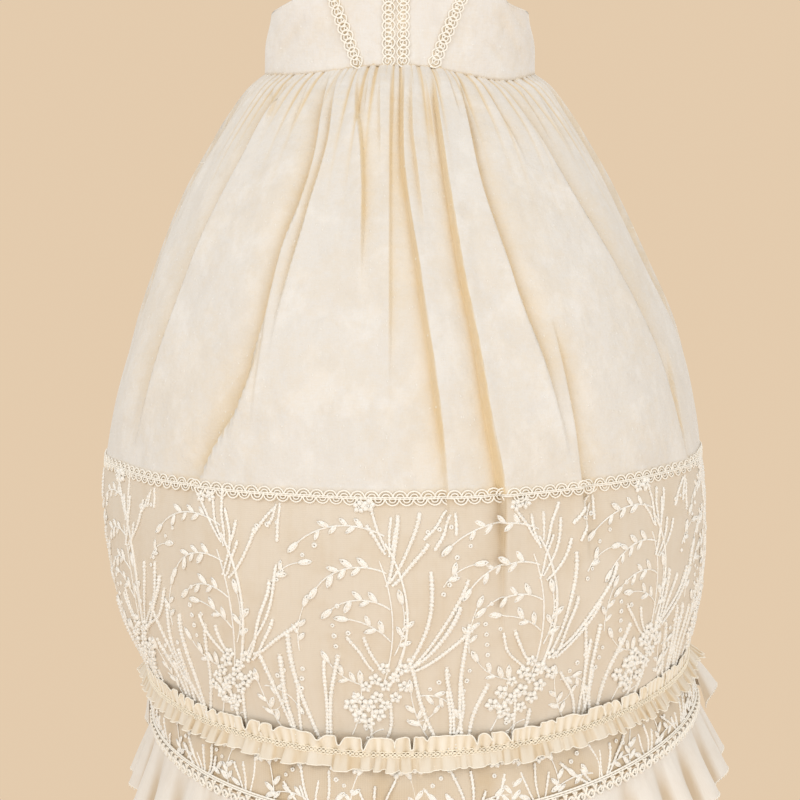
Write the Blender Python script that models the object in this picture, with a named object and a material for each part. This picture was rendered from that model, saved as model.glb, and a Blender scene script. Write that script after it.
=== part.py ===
"""A baby's christening gown, filled out as if worn, with nobody in it.

Metres, +Z up, the front faces -Y. The origin is midway between the two shoulder
seams, where the wearer's shoulders hold the gown up. A turn round the gown starts
at the centre front and goes by the +X side to the back.
"""

from collections import namedtuple
from math import asin, cos, exp, pi, radians, sin, sqrt

import bmesh
import bpy
from mathutils import Vector

MM = 0.001
SEAM_GAP = 0.3 * MM
WAIST_GAP = 0.45 * MM

# ---------------------------------------------------------------- driving sizes

COTTON_WALL = 1.6 * MM
TULLE_WALL = 1.3 * MM
ORGANZA_WALL = 1.2 * MM
BODICE_WALL = 1.4 * MM
TRIM_WALL = 1.0 * MM
RUFFLE_WALL = 1.7 * MM
TRIM_LIFT = 0.45 * MM

# Half-extents of the skirt from the gown's axis, to each of its four sides.
Section = namedtuple("Section", "height left right front back")
SKIRT_SECTIONS = (
    Section(-0.131, 0.0862, 0.0850, 0.0600, 0.0560),
    Section(-0.138, 0.0946, 0.0944, 0.0710, 0.0660),
    Section(-0.150, 0.1039, 0.1036, 0.0850, 0.0790),
    Section(-0.168, 0.1155, 0.1153, 0.1000, 0.0940),
    Section(-0.200, 0.1338, 0.1338, 0.1220, 0.1140),
    Section(-0.245, 0.1533, 0.1562, 0.1460, 0.1370),
    Section(-0.290, 0.1695, 0.1762, 0.1635, 0.1540),
    Section(-0.340, 0.1830, 0.1893, 0.1785, 0.1680),
    Section(-0.385, 0.1890, 0.1948, 0.1850, 0.1740),
    Section(-0.425, 0.1875, 0.1956, 0.1845, 0.1735),
    Section(-0.465, 0.1805, 0.1918, 0.1780, 0.1680),
    Section(-0.505, 0.1630, 0.1840, 0.1690, 0.1600),
    Section(-0.530, 0.1560, 0.1830, 0.1660, 0.1570),
)

# Heights of the seams and hems, at the middle of each side of the gown.
Level = namedtuple("Level", "front right back left")
WAIST = Level(-0.1315, -0.1290, -0.1305, -0.1302)
BRAID_SEAM = Level(-0.3750, -0.3675, -0.3700, -0.3710)
RUFFLE_SEAM = Level(-0.5188, -0.4985, -0.5040, -0.5085)
LOWER_BRAID_SEAM = Level(-0.5560, -0.5270, -0.5420, -0.5390)
HEM = Level(-0.6000, -0.5670, -0.5860, -0.5800)
BACK_FLOUNCE_HEM = Level(-0.5500, -0.5370, -0.5440, -0.5560)

# How much lower the waist seam sags between the middles of the sides.
Diagonals = namedtuple("Diagonals", "front_right back_right back_left front_left")
WAIST_SAG = Diagonals(0.0080, 0.0030, 0.0045, 0.0040)
WAIST_TABLE_HEIGHT = -0.1310
LEVEL_WAIST = Level(*[WAIST_TABLE_HEIGHT] * 4)
WAIST_SHIFT_FADE = 0.055

# How far the lower rings stand from the gown's axis.
LOWER_BRAID_REACH = Level(0.1740, 0.1915, 0.1660, 0.1590)
HEM_REACH = Level(0.1960, 0.2110, 0.1890, 0.1720)
BACK_FLOUNCE_REACH = Level(0.1900, 0.2110, 0.1890, 0.1715)
LOWER_TIER_BULGE = 0.012

# Soft folds that fall from the gathers: where each starts and ends round the gown,
# how deep and how wide it is, and between which heights it runs.
Fold = namedtuple("Fold", "start_deg end_deg depth_mm width_deg top bottom")
FOLDS = (
    Fold(-52, -61, 6.0, 6.5, -0.125, -0.370),
    Fold(-28, -38, 8.0, 5.0, -0.125, -0.400),
    Fold(-12, -8, 4.0, 4.0, -0.125, -0.270),
    Fold(3, 7, 6.0, 4.5, -0.125, -0.400),
    Fold(13, 15, 6.5, 4.0, -0.125, -0.500),
    Fold(24, 28, 5.5, 5.5, -0.125, -0.360),
    Fold(46, 61, 8.0, 5.5, -0.125, -0.345),
    Fold(31, 34, 3.0, 4.5, -0.240, -0.400),
    Fold(80, 84, 5.0, 6.0, -0.125, -0.330),
    Fold(101, 98, 6.5, 5.5, -0.125, -0.390),
    Fold(122, 126, 7.0, 5.0, -0.125, -0.350),
    Fold(141, 139, 4.5, 4.5, -0.125, -0.290),
    Fold(157, 160, 7.5, 5.5, -0.125, -0.420),
    Fold(176, 175, 5.0, 4.0, -0.125, -0.320),
    Fold(192, 196, 7.5, 5.0, -0.125, -0.450),
    Fold(211, 208, 4.0, 4.5, -0.125, -0.280),
    Fold(228, 233, 7.5, 6.0, -0.125, -0.380),
    Fold(252, 249, 6.0, 5.0, -0.125, -0.400),
    Fold(279, 275, 5.0, 6.0, -0.125, -0.320),
)
FOLD_GROWTH = 0.060
FOLD_FADE_SHARE = 0.45

# Slow swells round the gown, which make its waves uneven: size, number, start.
Swell = namedtuple("Swell", "size count phase")
COLUMN_SWELLS = (Swell(0.050, 3, 0.7), Swell(0.018, 8, 2.0))

# Gathers at the waist seam.
GATHERS = 48
GATHER_DEPTH = 1.5 * MM
GATHER_FADE = 0.026
GATHER_SWELLS = (Swell(0.35, 5, 1.0),)

# The waves of the two flounces.
HEM_WAVES = 32
HEM_WAVE_DEPTH = 5.5 * MM
HEM_SWELLS = (Swell(0.30, 3, 0.5), Swell(0.18, 7, 0.0))
HEM_LEANS = (Swell(0.5, 5, 0.0),)
BACK_WAVES = 14
BACK_FLOUNCE_WAVE = Level(0.0050, 0.0050, 0.0050, 0.0016)
BACK_SWELLS = (Swell(0.25, 2.3, 1.0),)

# The back flounce: where it starts and ends, and how it clears what it hangs over.
BACK_FLOUNCE_START = radians(91)
BACK_FLOUNCE_END = radians(269)
BACK_FLOUNCE_DROP = 1.5 * MM
BACK_FLOUNCE_LIFT = 0.9 * MM
BACK_FLOUNCE_BOW = 1.2 * MM

# The headed ruffle: rise above its stitching, how far it stands out, and its wave.
Frill = namedtuple("Frill", "rise out wave back_push")
RUFFLE_FRILLS = (
    Frill(0.0120, 0.0040, 0.0022, 0.0010),
    Frill(0.0000, 0.0012, 0.0004, 0.0018),
    Frill(-0.0100, 0.0046, 0.0026, 0.0072),
)
RUFFLE_WAVES = 84
RUFFLE_SWELLS = (Swell(0.30, 11, 0.4), Swell(0.20, 5, 0.0))
RUFFLE_LEANS = (Swell(0.6, 9, 1.0),)
RUFFLE_PUSH_FROM = radians(79)
RUFFLE_PUSH_TO = radians(90)

# Rows of each wall, as shares of the way from its upper edge to its lower one.
SKIRT_ROW_SHARES = (0.095, 0.20, 0.34, 0.50, 0.68, 0.86)
GATHERED_ROW_SHARE = 0.035
EMBROIDERED_TIER_SHARES = (0.36, 0.70)
LOWER_TIER_TOP_SHARE = 0.02
LOWER_TIER_FOOT_SHARE = 0.995
HEM_FLOUNCE_SHARES = (0.008, 0.48, 1.0)
BACK_FLOUNCE_SHARES = (0.0, 0.5, 1.0)

# Columns of the mesh round the gown.
SKIRT_COLUMNS = 96
GATHER_COLUMNS = 4 * GATHERS
RUFFLE_COLUMNS = 3 * RUFFLE_WAVES
HEM_COLUMNS = 4 * HEM_WAVES
BACK_COLUMNS = 4 * BACK_WAVES

# The bodice: half-widths and heights on its flat front view, with +X out and +Z up.
WAIST_FRONT_DEPTH = 0.0600
WAIST_BACK_DEPTH = 0.0560
SIDE_SEAM_TOP_HEIGHT = -0.0937
ARMHOLE_LOW = (0.0655, -0.0890)
ARMHOLE_INSIDE = (0.0555, -0.0500)
SHOULDER_TIP = (0.0685, -0.0045)
NECK_POINT = (0.0420, 0.0090)
FRONT_NECK_DROP = -0.0500
BACK_NECK_DROP = -0.0170
BodiceWidth = namedtuple("BodiceWidth", "height half_width")
BODICE_WIDTHS = (
    BodiceWidth(-0.1400, 0.0861),
    BodiceWidth(-0.1300, 0.0861),
    BodiceWidth(-0.1130, 0.0858),
    BodiceWidth(-0.0937, 0.0820),
    BodiceWidth(-0.0500, 0.0825),
    BodiceWidth(0.0100, 0.0840),
)
SHOULDER_ROUNDING = 5.0
CHEST_SQUARENESS = 0.4
CHEST_SQUARE_FROM = 0.35
NORMAL_STEP = 0.8 * MM

# A panel's outline: how far along its side and its top each corner comes.
SIDE_SEAM_SHARE = 0.28
ARMHOLE_LOW_SHARE = 0.42
ARMHOLE_INSIDE_SHARE = 0.72
NECK_SHARE = 0.68
NECK_ACROSS_POWER = 0.9
NECK_RISE_POWER = 1.1
PANEL_ROWS = (0.0, 0.14, 0.28, 0.42, 0.56, 0.70, 0.82, 0.92, 1.0)
PANEL_COLUMNS = 11

# The two halves of the back lap over each other at the centre.
LAP_HALF_WIDTH = 8.0 * MM
LAP_FLARE_POWER = 4
LAP_LEVEL_TO = 10.5 * MM
LAP_EASE_TO = 24.0 * MM
LAP_RISE = BODICE_WALL + 0.7 * MM

# Lace braids and their places.
UPPER_BRAID_WIDTH = 8.0 * MM
BODICE_BRAID_WIDTH = 7.6 * MM
LOWER_BRAID_ABOVE = 5.5 * MM
LOWER_BRAID_BELOW = 5.0 * MM
LOWER_BRAID_CLEARANCE = 1.5
Strip = namedtuple("Strip", "name foot_x foot_z head_x head_z")
BODICE_STRIPS = (
    Strip("braid_side_left", -0.0256, -0.1290, -0.0500, -0.0645),
    Strip("braid_centre_left", -0.0064, -0.1290, -0.0064, -0.0515),
    Strip("braid_centre_right", 0.0015, -0.1290, 0.0015, -0.0515),
    Strip("braid_side_right", 0.0205, -0.1290, 0.0478, -0.0645),
)
STRIP_ROWS = 9

# The buttons of the back, with a dished face.
BUTTON_RADIUS = 4.5 * MM
BUTTON_THICKNESS = 2.4 * MM
BUTTON_DISH = 0.6 * MM
BUTTON_DISH_SHARE = 0.55
BUTTON_RIM_SHARE = 0.80
BUTTON_SEGMENTS = 16
BUTTON_HEIGHTS = (-0.036, -0.070, -0.104)

# Colour, roughness of each cloth.
Finish = namedtuple("Finish", "colour roughness")
FINISHES = {
    "cotton": Finish((0.86, 0.79, 0.68), 0.75),
    "tulle": Finish((0.76, 0.66, 0.52), 0.80),
    "organza": Finish((0.83, 0.76, 0.66), 0.60),
    "frill": Finish((0.86, 0.76, 0.60), 0.75),
    "lace": Finish((0.90, 0.85, 0.76), 0.80),
    "button": Finish((0.88, 0.84, 0.76), 0.35),
}

# ---------------------------------------------------------------- curves and levels


def smoothstep(low, high, value):
    """0 below low, 1 above high, eased between."""
    share = min(1.0, max(0.0, (value - low) / (high - low)))
    return share * share * (3 - 2 * share)


def cubic(stations, values, place):
    """A smooth curve through the values, with stations rising."""
    count = len(stations)
    last = max(k for k in range(count - 1) if stations[k] <= place or k == 0)
    span = stations[last + 1] - stations[last]

    def slope(k):
        before, after = max(0, k - 1), min(count - 1, k + 1)
        return (values[after] - values[before]) / (stations[after] - stations[before])

    share = (place - stations[last]) / span
    rest = 1 - share
    return (
        values[last] * rest * rest * (1 + 2 * share)
        + values[last + 1] * share * share * (3 - 2 * share)
        + slope(last) * span * share * rest * rest
        - slope(last + 1) * span * share * share * rest
    )


def swelling(swells, turn):
    """The sum of the slow swells at this place round the gown."""
    return sum(row.size * sin(2 * pi * row.count * turn + row.phase) for row in swells)


def round_the_gown(theta, level):
    """One value for each side of the gown, eased from side to side."""
    along_y = level.front if cos(theta) > 0 else level.back
    along_x = level.right if sin(theta) > 0 else level.left
    return along_y * cos(theta) ** 2 + along_x * sin(theta) ** 2


def waist_height(theta):
    front = cos(theta) > 0
    if sin(theta) > 0:
        sag = WAIST_SAG.front_right if front else WAIST_SAG.back_right
    else:
        sag = WAIST_SAG.front_left if front else WAIST_SAG.back_left
    return round_the_gown(theta, WAIST) - sag * sin(2 * theta) ** 2


def oval_point(theta, size, height):
    """The point of an oval with its own reach to each of the four sides."""
    along_x = size.right if sin(theta) > 0 else size.left
    along_y = size.front if cos(theta) > 0 else size.back
    return Vector((along_x * sin(theta), -along_y * cos(theta), height))


def azimuth(turn):
    """The angle of a column. The columns are a little uneven, as gathers are."""
    return 2 * pi * turn + swelling(COLUMN_SWELLS, turn)


def columns(count):
    return [column / count for column in range(count)]


# ---------------------------------------------------------------- the skirt's form


def section_at(height):
    rows = SKIRT_SECTIONS[::-1]
    heights = [row.height for row in rows]
    sides = zip(*(row[1:] for row in rows))
    return Section(height, *(cubic(heights, side, height) for side in sides))


def skirt_base(theta, height):
    """The skirt without its folds. The waist seam's sag fades out a little below it."""
    shift = waist_height(theta) - WAIST_TABLE_HEIGHT
    kept = 1 - smoothstep(0.0, WAIST_SHIFT_FADE, WAIST_TABLE_HEIGHT - height)
    return oval_point(theta, section_at(height), height + shift * kept)


def surface_normal(surface, first, second, step=0.002):
    """The outward normal of surface(first, second), away from the gown's axis."""
    across = surface(first + step, second) - surface(first - step, second)
    down = surface(first, second + step) - surface(first, second - step)
    normal = across.cross(down).normalized()
    middle = surface(first, second)
    outward = normal.x * middle.x + normal.y * middle.y
    return normal if outward > 0 else -normal


def fold_depth(theta, height):
    """How far the soft folds pull the cloth in."""
    depth = 0.0
    for fold in FOLDS:
        if not fold.bottom < height < fold.top:
            continue
        along = (height - fold.top) / (fold.bottom - fold.top)
        centre = radians(fold.start_deg + (fold.end_deg - fold.start_deg) * along)
        away = (theta - centre + pi) % (2 * pi) - pi
        grown = smoothstep(0.0, FOLD_GROWTH, fold.top - height)
        faded = smoothstep(0.0, FOLD_FADE_SHARE, 1 - along)
        width = radians(fold.width_deg)
        depth += fold.depth_mm * MM * grown * faded * exp(-((away / width) ** 2))
    return depth


def gather_height(turn, below_waist):
    """The small waves of the gathering, strongest just under the waist seam."""
    swell = 1 + swelling(GATHER_SWELLS, turn)
    fade = exp(-((below_waist / GATHER_FADE) ** 2))
    return GATHER_DEPTH * swell * fade * cos(2 * pi * GATHERS * turn)


def skirt_point(turn, height, out=0.0):
    theta = azimuth(turn)
    below_waist = WAIST_TABLE_HEIGHT - height
    relief = gather_height(turn, below_waist) - fold_depth(theta, height)
    normal = surface_normal(skirt_base, theta, height)
    level_normal = Vector((normal.x, normal.y, 0.0)).normalized()
    return skirt_base(theta, height) + level_normal * relief + normal * out


def between_levels(turn, upper, lower, share):
    """A height the given share of the way from one seam down to the next."""
    theta = azimuth(turn)
    high = round_the_gown(theta, upper)
    low = round_the_gown(theta, lower)
    return high + (low - high) * share


def lower_tier_base(theta, share):
    """The lower tulle tier, from the ruffle's seam down to the lower braid."""
    top = skirt_base(theta, round_the_gown(theta, RUFFLE_SEAM))
    foot_height = round_the_gown(theta, LOWER_BRAID_SEAM)
    foot = oval_point(theta, LOWER_BRAID_REACH, foot_height)
    bulge = 1 + LOWER_TIER_BULGE * sin(pi * min(1.0, max(0.0, share)))
    point = top.lerp(foot, share)
    return Vector((point.x * bulge, point.y * bulge, point.z))


def hem_flounce_base(theta, share):
    top = oval_point(theta, LOWER_BRAID_REACH, round_the_gown(theta, LOWER_BRAID_SEAM))
    foot = oval_point(theta, HEM_REACH, round_the_gown(theta, HEM))
    return top.lerp(foot, share)


def back_flounce_base(theta, share):
    seam = round_the_gown(theta, RUFFLE_SEAM)
    top = skirt_base(theta, seam)
    top.z -= BACK_FLOUNCE_DROP
    foot = oval_point(theta, BACK_FLOUNCE_REACH, round_the_gown(theta, BACK_FLOUNCE_HEM))
    return top.lerp(foot, share)


def lifted(surface, theta, share, out):
    return surface(theta, share) + surface_normal(surface, theta, share) * out


# ---------------------------------------------------------------- meshes


def material(name):
    found = bpy.data.materials.get(name)
    if found:
        return found
    made = bpy.data.materials.new(name)
    made.use_nodes = True
    shader = made.node_tree.nodes["Principled BSDF"]
    shader.inputs["Base Color"].default_value = (*FINISHES[name].colour, 1.0)
    shader.inputs["Roughness"].default_value = FINISHES[name].roughness
    shader.inputs["Metallic"].default_value = 0.0
    return made


def mesh_object(name, finish, mesh):
    """The finished object of a closed mesh, with its faces pointing out."""
    bmesh.ops.recalc_face_normals(mesh, faces=mesh.faces)
    data = bpy.data.meshes.new(name)
    mesh.to_mesh(data)
    mesh.free()
    data.shade_smooth()
    data.materials.append(material(finish))
    bpy.context.scene.collection.objects.link(bpy.data.objects.new(name, data))


def stitch(mesh, upper, lower, ring, guide=None):
    """Faces between two rows. One row may have twice as many points as the other.

    Each quad is split along the shorter of its diagonals in the guide, another pair
    of rows, so that the two faces of a wall are split alike and never cross.
    """
    if len(upper) < len(lower):
        upper, lower = lower, upper
    step = 2 if len(upper) > len(lower) else 1
    guide_upper, guide_lower = guide or (upper, lower)
    spans = len(lower) if ring else len(lower) - 1
    for k in range(spans):
        after = (k + 1) % len(lower)
        low, next_low = lower[k], lower[after]
        high, next_high = upper[step * k], upper[(step * k + step) % len(upper)]
        if step == 2:
            middle = upper[2 * k + 1]
            mesh.faces.new((high, middle, low))
            mesh.faces.new((middle, next_low, low))
            mesh.faces.new((middle, next_high, next_low))
            continue
        falling = (guide_upper[k].co - guide_lower[after].co).length
        rising = (guide_lower[k].co - guide_upper[after].co).length
        if falling < rising:
            mesh.faces.new((high, next_high, next_low))
            mesh.faces.new((high, next_low, low))
        else:
            mesh.faces.new((high, next_high, low))
            mesh.faces.new((next_high, next_low, low))


def cloth_wall(name, finish, rows, outer_at, inner_at, ring=True):
    """A closed wall of cloth. Each row holds its points as functions of how far out they are."""
    mesh = bmesh.new()
    outer = [[mesh.verts.new(place(outer_at)) for place in row] for row in rows]
    inner = [[mesh.verts.new(place(inner_at)) for place in row] for row in rows]
    for k in range(len(rows) - 1):
        guide = outer[k], outer[k + 1]
        stitch(mesh, *guide, ring, guide)
        stitch(mesh, inner[k], inner[k + 1], ring, guide)
    for end in (0, -1):
        stitch(mesh, outer[end], inner[end], ring)
    if not ring:
        for end in (0, -1):
            outer_side = [row[end] for row in outer]
            inner_side = [row[end] for row in inner]
            stitch(mesh, outer_side, inner_side, False)
    mesh_object(name, finish, mesh)


# ---------------------------------------------------------------- skirt, tiers, flounces


def skirt_row(count, upper, lower, share, drop=0.0):
    def place(turn):
        height = between_levels(turn, upper, lower, share) - drop
        return lambda out: skirt_point(turn, height, out)

    return [place(turn) for turn in columns(count)]


def make_skirt():
    def row(share, drop=0.0, count=SKIRT_COLUMNS):
        return skirt_row(count, LEVEL_WAIST, BRAID_SEAM, share, drop)

    rows = [row(0.0, WAIST_GAP, GATHER_COLUMNS)]
    rows.append(row(GATHERED_ROW_SHARE, count=GATHER_COLUMNS))
    rows += [row(share) for share in SKIRT_ROW_SHARES]
    rows.append(row(1.0, -UPPER_BRAID_WIDTH / 2))
    rows.append(row(1.0, -SEAM_GAP / 2))
    cloth_wall("skirt", "cotton", rows, 0.0, -COTTON_WALL)


def make_embroidered_tier():
    def row(share, drop=0.0):
        return skirt_row(SKIRT_COLUMNS, BRAID_SEAM, RUFFLE_SEAM, share, drop)

    rows = [row(0.0, SEAM_GAP / 2), row(0.0, UPPER_BRAID_WIDTH / 2)]
    rows += [row(share) for share in EMBROIDERED_TIER_SHARES]
    rows.append(row(1.0))
    cloth_wall("embroidered_tier", "tulle", rows, 0.0, -TULLE_WALL)


def make_upper_braid():
    rows = [
        skirt_row(SKIRT_COLUMNS, BRAID_SEAM, BRAID_SEAM, 0.0, drop)
        for drop in (-UPPER_BRAID_WIDTH / 2, UPPER_BRAID_WIDTH / 2)
    ]
    cloth_wall("upper_braid", "lace", rows, TRIM_LIFT + TRIM_WALL, TRIM_LIFT)


def lower_tier_share(theta, above):
    """The share down the lower tier that lies the given distance above its hem."""
    top = lower_tier_base(theta, 0.0)
    foot = lower_tier_base(theta, 1.0)
    return 1 - above / (top - foot).length


def make_lower_tier():
    def row(share_at):
        def place(turn):
            theta = azimuth(turn)
            return lambda out: lifted(lower_tier_base, theta, share_at(theta), out)

        return [place(turn) for turn in columns(SKIRT_COLUMNS)]

    rows = [
        row(lambda theta: LOWER_TIER_TOP_SHARE),
        row(lambda theta: lower_tier_share(theta, LOWER_BRAID_ABOVE)),
        row(lambda theta: LOWER_TIER_FOOT_SHARE),
    ]
    cloth_wall("lower_tier", "tulle", rows, 0.0, -TULLE_WALL)


def hem_wave(turn, share):
    """The flounce's wave, from flat at its seam to full at its hem."""
    swell = 1 + swelling(HEM_SWELLS, turn)
    lean = swelling(HEM_LEANS, turn)
    return HEM_WAVE_DEPTH * swell * share * cos(2 * pi * HEM_WAVES * turn + lean)


def hem_flounce_place(turn, share):
    theta = azimuth(turn)
    wave = hem_wave(turn, share)
    return lambda out: lifted(hem_flounce_base, theta, share, out + wave)


def make_hem_flounce():
    rows = [
        [hem_flounce_place(turn, share) for turn in columns(HEM_COLUMNS)]
        for share in HEM_FLOUNCE_SHARES
    ]
    cloth_wall("hem_flounce", "organza", rows, 0.0, -ORGANZA_WALL)


def make_lower_braid():
    """A ring that is sewn on the tier's hem and hangs over the top of the flounce."""

    def upper(turn):
        theta = azimuth(turn)
        share = lower_tier_share(theta, LOWER_BRAID_ABOVE)
        return lambda out: lifted(lower_tier_base, theta, share, out)

    def lower(turn):
        theta = azimuth(turn)
        depth = (hem_flounce_base(theta, 1.0) - hem_flounce_base(theta, 0.0)).length
        share = LOWER_BRAID_BELOW / depth
        clear = abs(hem_wave(0.0, share)) * LOWER_BRAID_CLEARANCE
        return lambda out: lifted(hem_flounce_base, theta, share, out + clear)

    rows = [[edge(turn) for turn in columns(SKIRT_COLUMNS)] for edge in (upper, lower)]
    cloth_wall("lower_braid", "lace", rows, TRIM_LIFT + TRIM_WALL, TRIM_LIFT)


def ruffle_base(theta, rise):
    """The surface that the ruffle lies on, the given distance above its stitching."""
    if rise >= 0:
        return skirt_base(theta, round_the_gown(theta, RUFFLE_SEAM) + rise)
    foot = lower_tier_base(theta, 1.0)
    top = lower_tier_base(theta, 0.0)
    return lower_tier_base(theta, -rise / (top - foot).length)


def ruffle_place(turn, frill):
    theta = azimuth(turn)
    swell = 1 + swelling(RUFFLE_SWELLS, turn)
    lean = swelling(RUFFLE_LEANS, turn)
    wave = frill.wave * swell * cos(2 * pi * RUFFLE_WAVES * turn + lean)
    from_front = min(theta, 2 * pi - theta)
    at_back = smoothstep(RUFFLE_PUSH_FROM, RUFFLE_PUSH_TO, from_front)
    stand = frill.out + wave + frill.back_push * at_back
    base = ruffle_base(theta, frill.rise)
    flat = Vector((base.x, base.y, 0.0)).normalized()
    return lambda out: base + flat * (stand + out)


def make_ruffle():
    rows = [
        [ruffle_place(turn, frill) for turn in columns(RUFFLE_COLUMNS)]
        for frill in RUFFLE_FRILLS
    ]
    cloth_wall("ruffle", "frill", rows, RUFFLE_WALL, 0.0)


def back_flounce_place(share_round, share):
    theta = BACK_FLOUNCE_START + (BACK_FLOUNCE_END - BACK_FLOUNCE_START) * share_round
    swell = 1 + swelling(BACK_SWELLS, share_round)
    depth = round_the_gown(theta, BACK_FLOUNCE_WAVE)
    wave = depth * swell * share * cos(2 * pi * BACK_WAVES * share_round)
    lift = BACK_FLOUNCE_LIFT + ORGANZA_WALL + BACK_FLOUNCE_BOW * sin(pi * share)
    return lambda out: lifted(back_flounce_base, theta, share, out + lift - wave)


def make_back_flounce():
    """An organza flounce that hangs from under the ruffle round the back half."""
    rows = [
        [back_flounce_place(turn, share) for turn in columns(BACK_COLUMNS) + [1.0]]
        for share in BACK_FLOUNCE_SHARES
    ]
    cloth_wall("back_flounce", "organza", rows, 0.0, -ORGANZA_WALL, ring=False)


# ---------------------------------------------------------------- bodice


def shoulder_height(x):
    """The shoulder line, from the neck point down to the shoulder's tip."""
    (neck_x, neck_z), (tip_x, tip_z) = NECK_POINT, SHOULDER_TIP
    share = (abs(x) - neck_x) / (tip_x - neck_x)
    return neck_z + (tip_z - neck_z) * share


def body_half_width(height):
    """Half the bodice's width, were it to go straight up to the shoulders."""
    heights, half_widths = zip(*BODICE_WIDTHS)
    return cubic(heights, half_widths, height)


def bodice_surface(x, height, depth):
    """A point of the bodice. A negative depth is the front's, a positive one the back's."""
    across = min(1.0, abs(x) / body_half_width(height))
    up = (height - WAIST_TABLE_HEIGHT) / (shoulder_height(x) - WAIST_TABLE_HEIGHT)
    up = min(1.0, max(0.0, up))
    squareness = 2 + CHEST_SQUARENESS * smoothstep(0.0, CHEST_SQUARE_FROM, up)
    rounded = (1 - across**squareness) ** (1 / squareness)
    domed = sqrt(1 - up**SHOULDER_ROUNDING)
    return Vector((x, depth * rounded * domed, height))


def bodice_normal(x, height, depth):
    """The outward normal, found a little inside the edges where the form turns edge on."""
    margin = 2 * NORMAL_STEP
    inside = min(abs(x), body_half_width(height) - margin)
    x_in = inside if x > 0 else -inside
    height_in = min(height, shoulder_height(x_in) - margin)

    def at(dx, dz):
        return bodice_surface(x_in + dx * NORMAL_STEP, height_in + dz * NORMAL_STEP, depth)

    normal = (at(1, 0) - at(-1, 0)).cross(at(0, 1) - at(0, -1)).normalized()
    return normal if normal.y * depth > 0 else -normal


def quarter_turn(share):
    """Eases a straight share into one that follows a quarter circle."""
    return sin(share * pi / 2)


def side_line(share):
    """The panel's outer edge, up the side seam and round the armhole to the shoulder."""
    if share <= SIDE_SEAM_SHARE:
        rise = SIDE_SEAM_TOP_HEIGHT - WAIST_TABLE_HEIGHT
        z = WAIST_TABLE_HEIGHT + rise * share / SIDE_SEAM_SHARE
        return body_half_width(z), z
    seam_top = (body_half_width(SIDE_SEAM_TOP_HEIGHT), SIDE_SEAM_TOP_HEIGHT)
    corners = (seam_top, ARMHOLE_LOW, ARMHOLE_INSIDE, SHOULDER_TIP)
    stations = (SIDE_SEAM_SHARE, ARMHOLE_LOW_SHARE, ARMHOLE_INSIDE_SHARE, 1.0)
    xs, zs = zip(*corners)
    return cubic(stations, xs, share), cubic(stations, zs, share)


def top_line(share, neck_drop):
    """The panel's top edge from its middle: half the neckline, then the shoulder seam."""
    if share > NECK_SHARE:
        part = (share - NECK_SHARE) / (1 - NECK_SHARE)
        x = NECK_POINT[0] + (SHOULDER_TIP[0] - NECK_POINT[0]) * part
        return x, shoulder_height(x)
    part = share / NECK_SHARE
    x = NECK_POINT[0] * quarter_turn(part) ** NECK_ACROSS_POWER
    rise = 1 - cos(part * pi / 2) ** NECK_RISE_POWER
    return x, neck_drop + (NECK_POINT[1] - neck_drop) * rise


def panel_place(across, up, neck_drop):
    """Where a point of the flat panel lies, across and up each from 0 to 1."""
    foot_x, foot_z = side_line(0.0)
    waist_x = foot_x * quarter_turn(across)
    top_x, top_z = top_line(across, neck_drop)
    side_x, side_z = side_line(up)
    middle_z = WAIST_TABLE_HEIGHT + (neck_drop - WAIST_TABLE_HEIGHT) * up
    corner_x, corner_z = SHOULDER_TIP
    x = waist_x * (1 - up) + top_x * up + side_x * across
    x -= foot_x * across * (1 - up) + corner_x * across * up
    z = foot_z * (1 - up) + top_z * up + middle_z * (1 - across) + side_z * across
    z -= foot_z * (1 - up) + neck_drop * (1 - across) * up + corner_z * across * up
    return x, z


def with_waist_sag(x, height, up, depth):
    """The height of a panel point once its lower edge follows the waist seam."""
    share = max(-1.0, min(1.0, x / body_half_width(height)))
    theta = asin(share) if depth < 0 else pi - asin(share)
    return height + (waist_height(theta) - WAIST_TABLE_HEIGHT) * (1 - up) ** 2


def bodice_place(x, height, depth, lift=0.0):
    """A panel point as a function of how far out it is, clear of the seams' middle."""
    base = bodice_surface(x, height, depth)
    normal = bodice_normal(x, height, depth)
    half_gap = SEAM_GAP / 2

    def place(out):
        point = base + normal * (out + lift)
        point.y = max(half_gap, point.y) if depth > 0 else min(-half_gap, point.y)
        return point

    return place


def make_bodice_front():
    rows = []
    for up in reversed(PANEL_ROWS):
        row = []
        for column in range(-PANEL_COLUMNS, PANEL_COLUMNS + 1):
            x, z = panel_place(abs(column) / PANEL_COLUMNS, up, FRONT_NECK_DROP)
            x = x if column >= 0 else -x
            z = with_waist_sag(x, z, up, -WAIST_FRONT_DEPTH)
            row.append(bodice_place(x, z, -WAIST_FRONT_DEPTH))
        rows.append(row)
    cloth_wall("bodice_front", "cotton", rows, 0.0, -BODICE_WALL, ring=False)


def make_bodice_back(name, side, over):
    """One half of the back. The half that laps over stands out at the centre back."""
    rows = []
    for up in reversed(PANEL_ROWS):
        row = []
        for column in range(PANEL_COLUMNS + 1):
            across = column / PANEL_COLUMNS
            x, z = panel_place(across, up, BACK_NECK_DROP)
            x -= LAP_HALF_WIDTH * (1 - across) ** LAP_FLARE_POWER
            near_lap = 1 - smoothstep(LAP_LEVEL_TO, LAP_EASE_TO, abs(x))
            lift = LAP_RISE * near_lap if over else 0.0
            z = with_waist_sag(side * x, z, up, WAIST_BACK_DEPTH)
            row.append(bodice_place(side * x, z, WAIST_BACK_DEPTH, lift))
        rows.append(row)
    cloth_wall(name, "cotton", rows, 0.0, -BODICE_WALL, ring=False)


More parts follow.
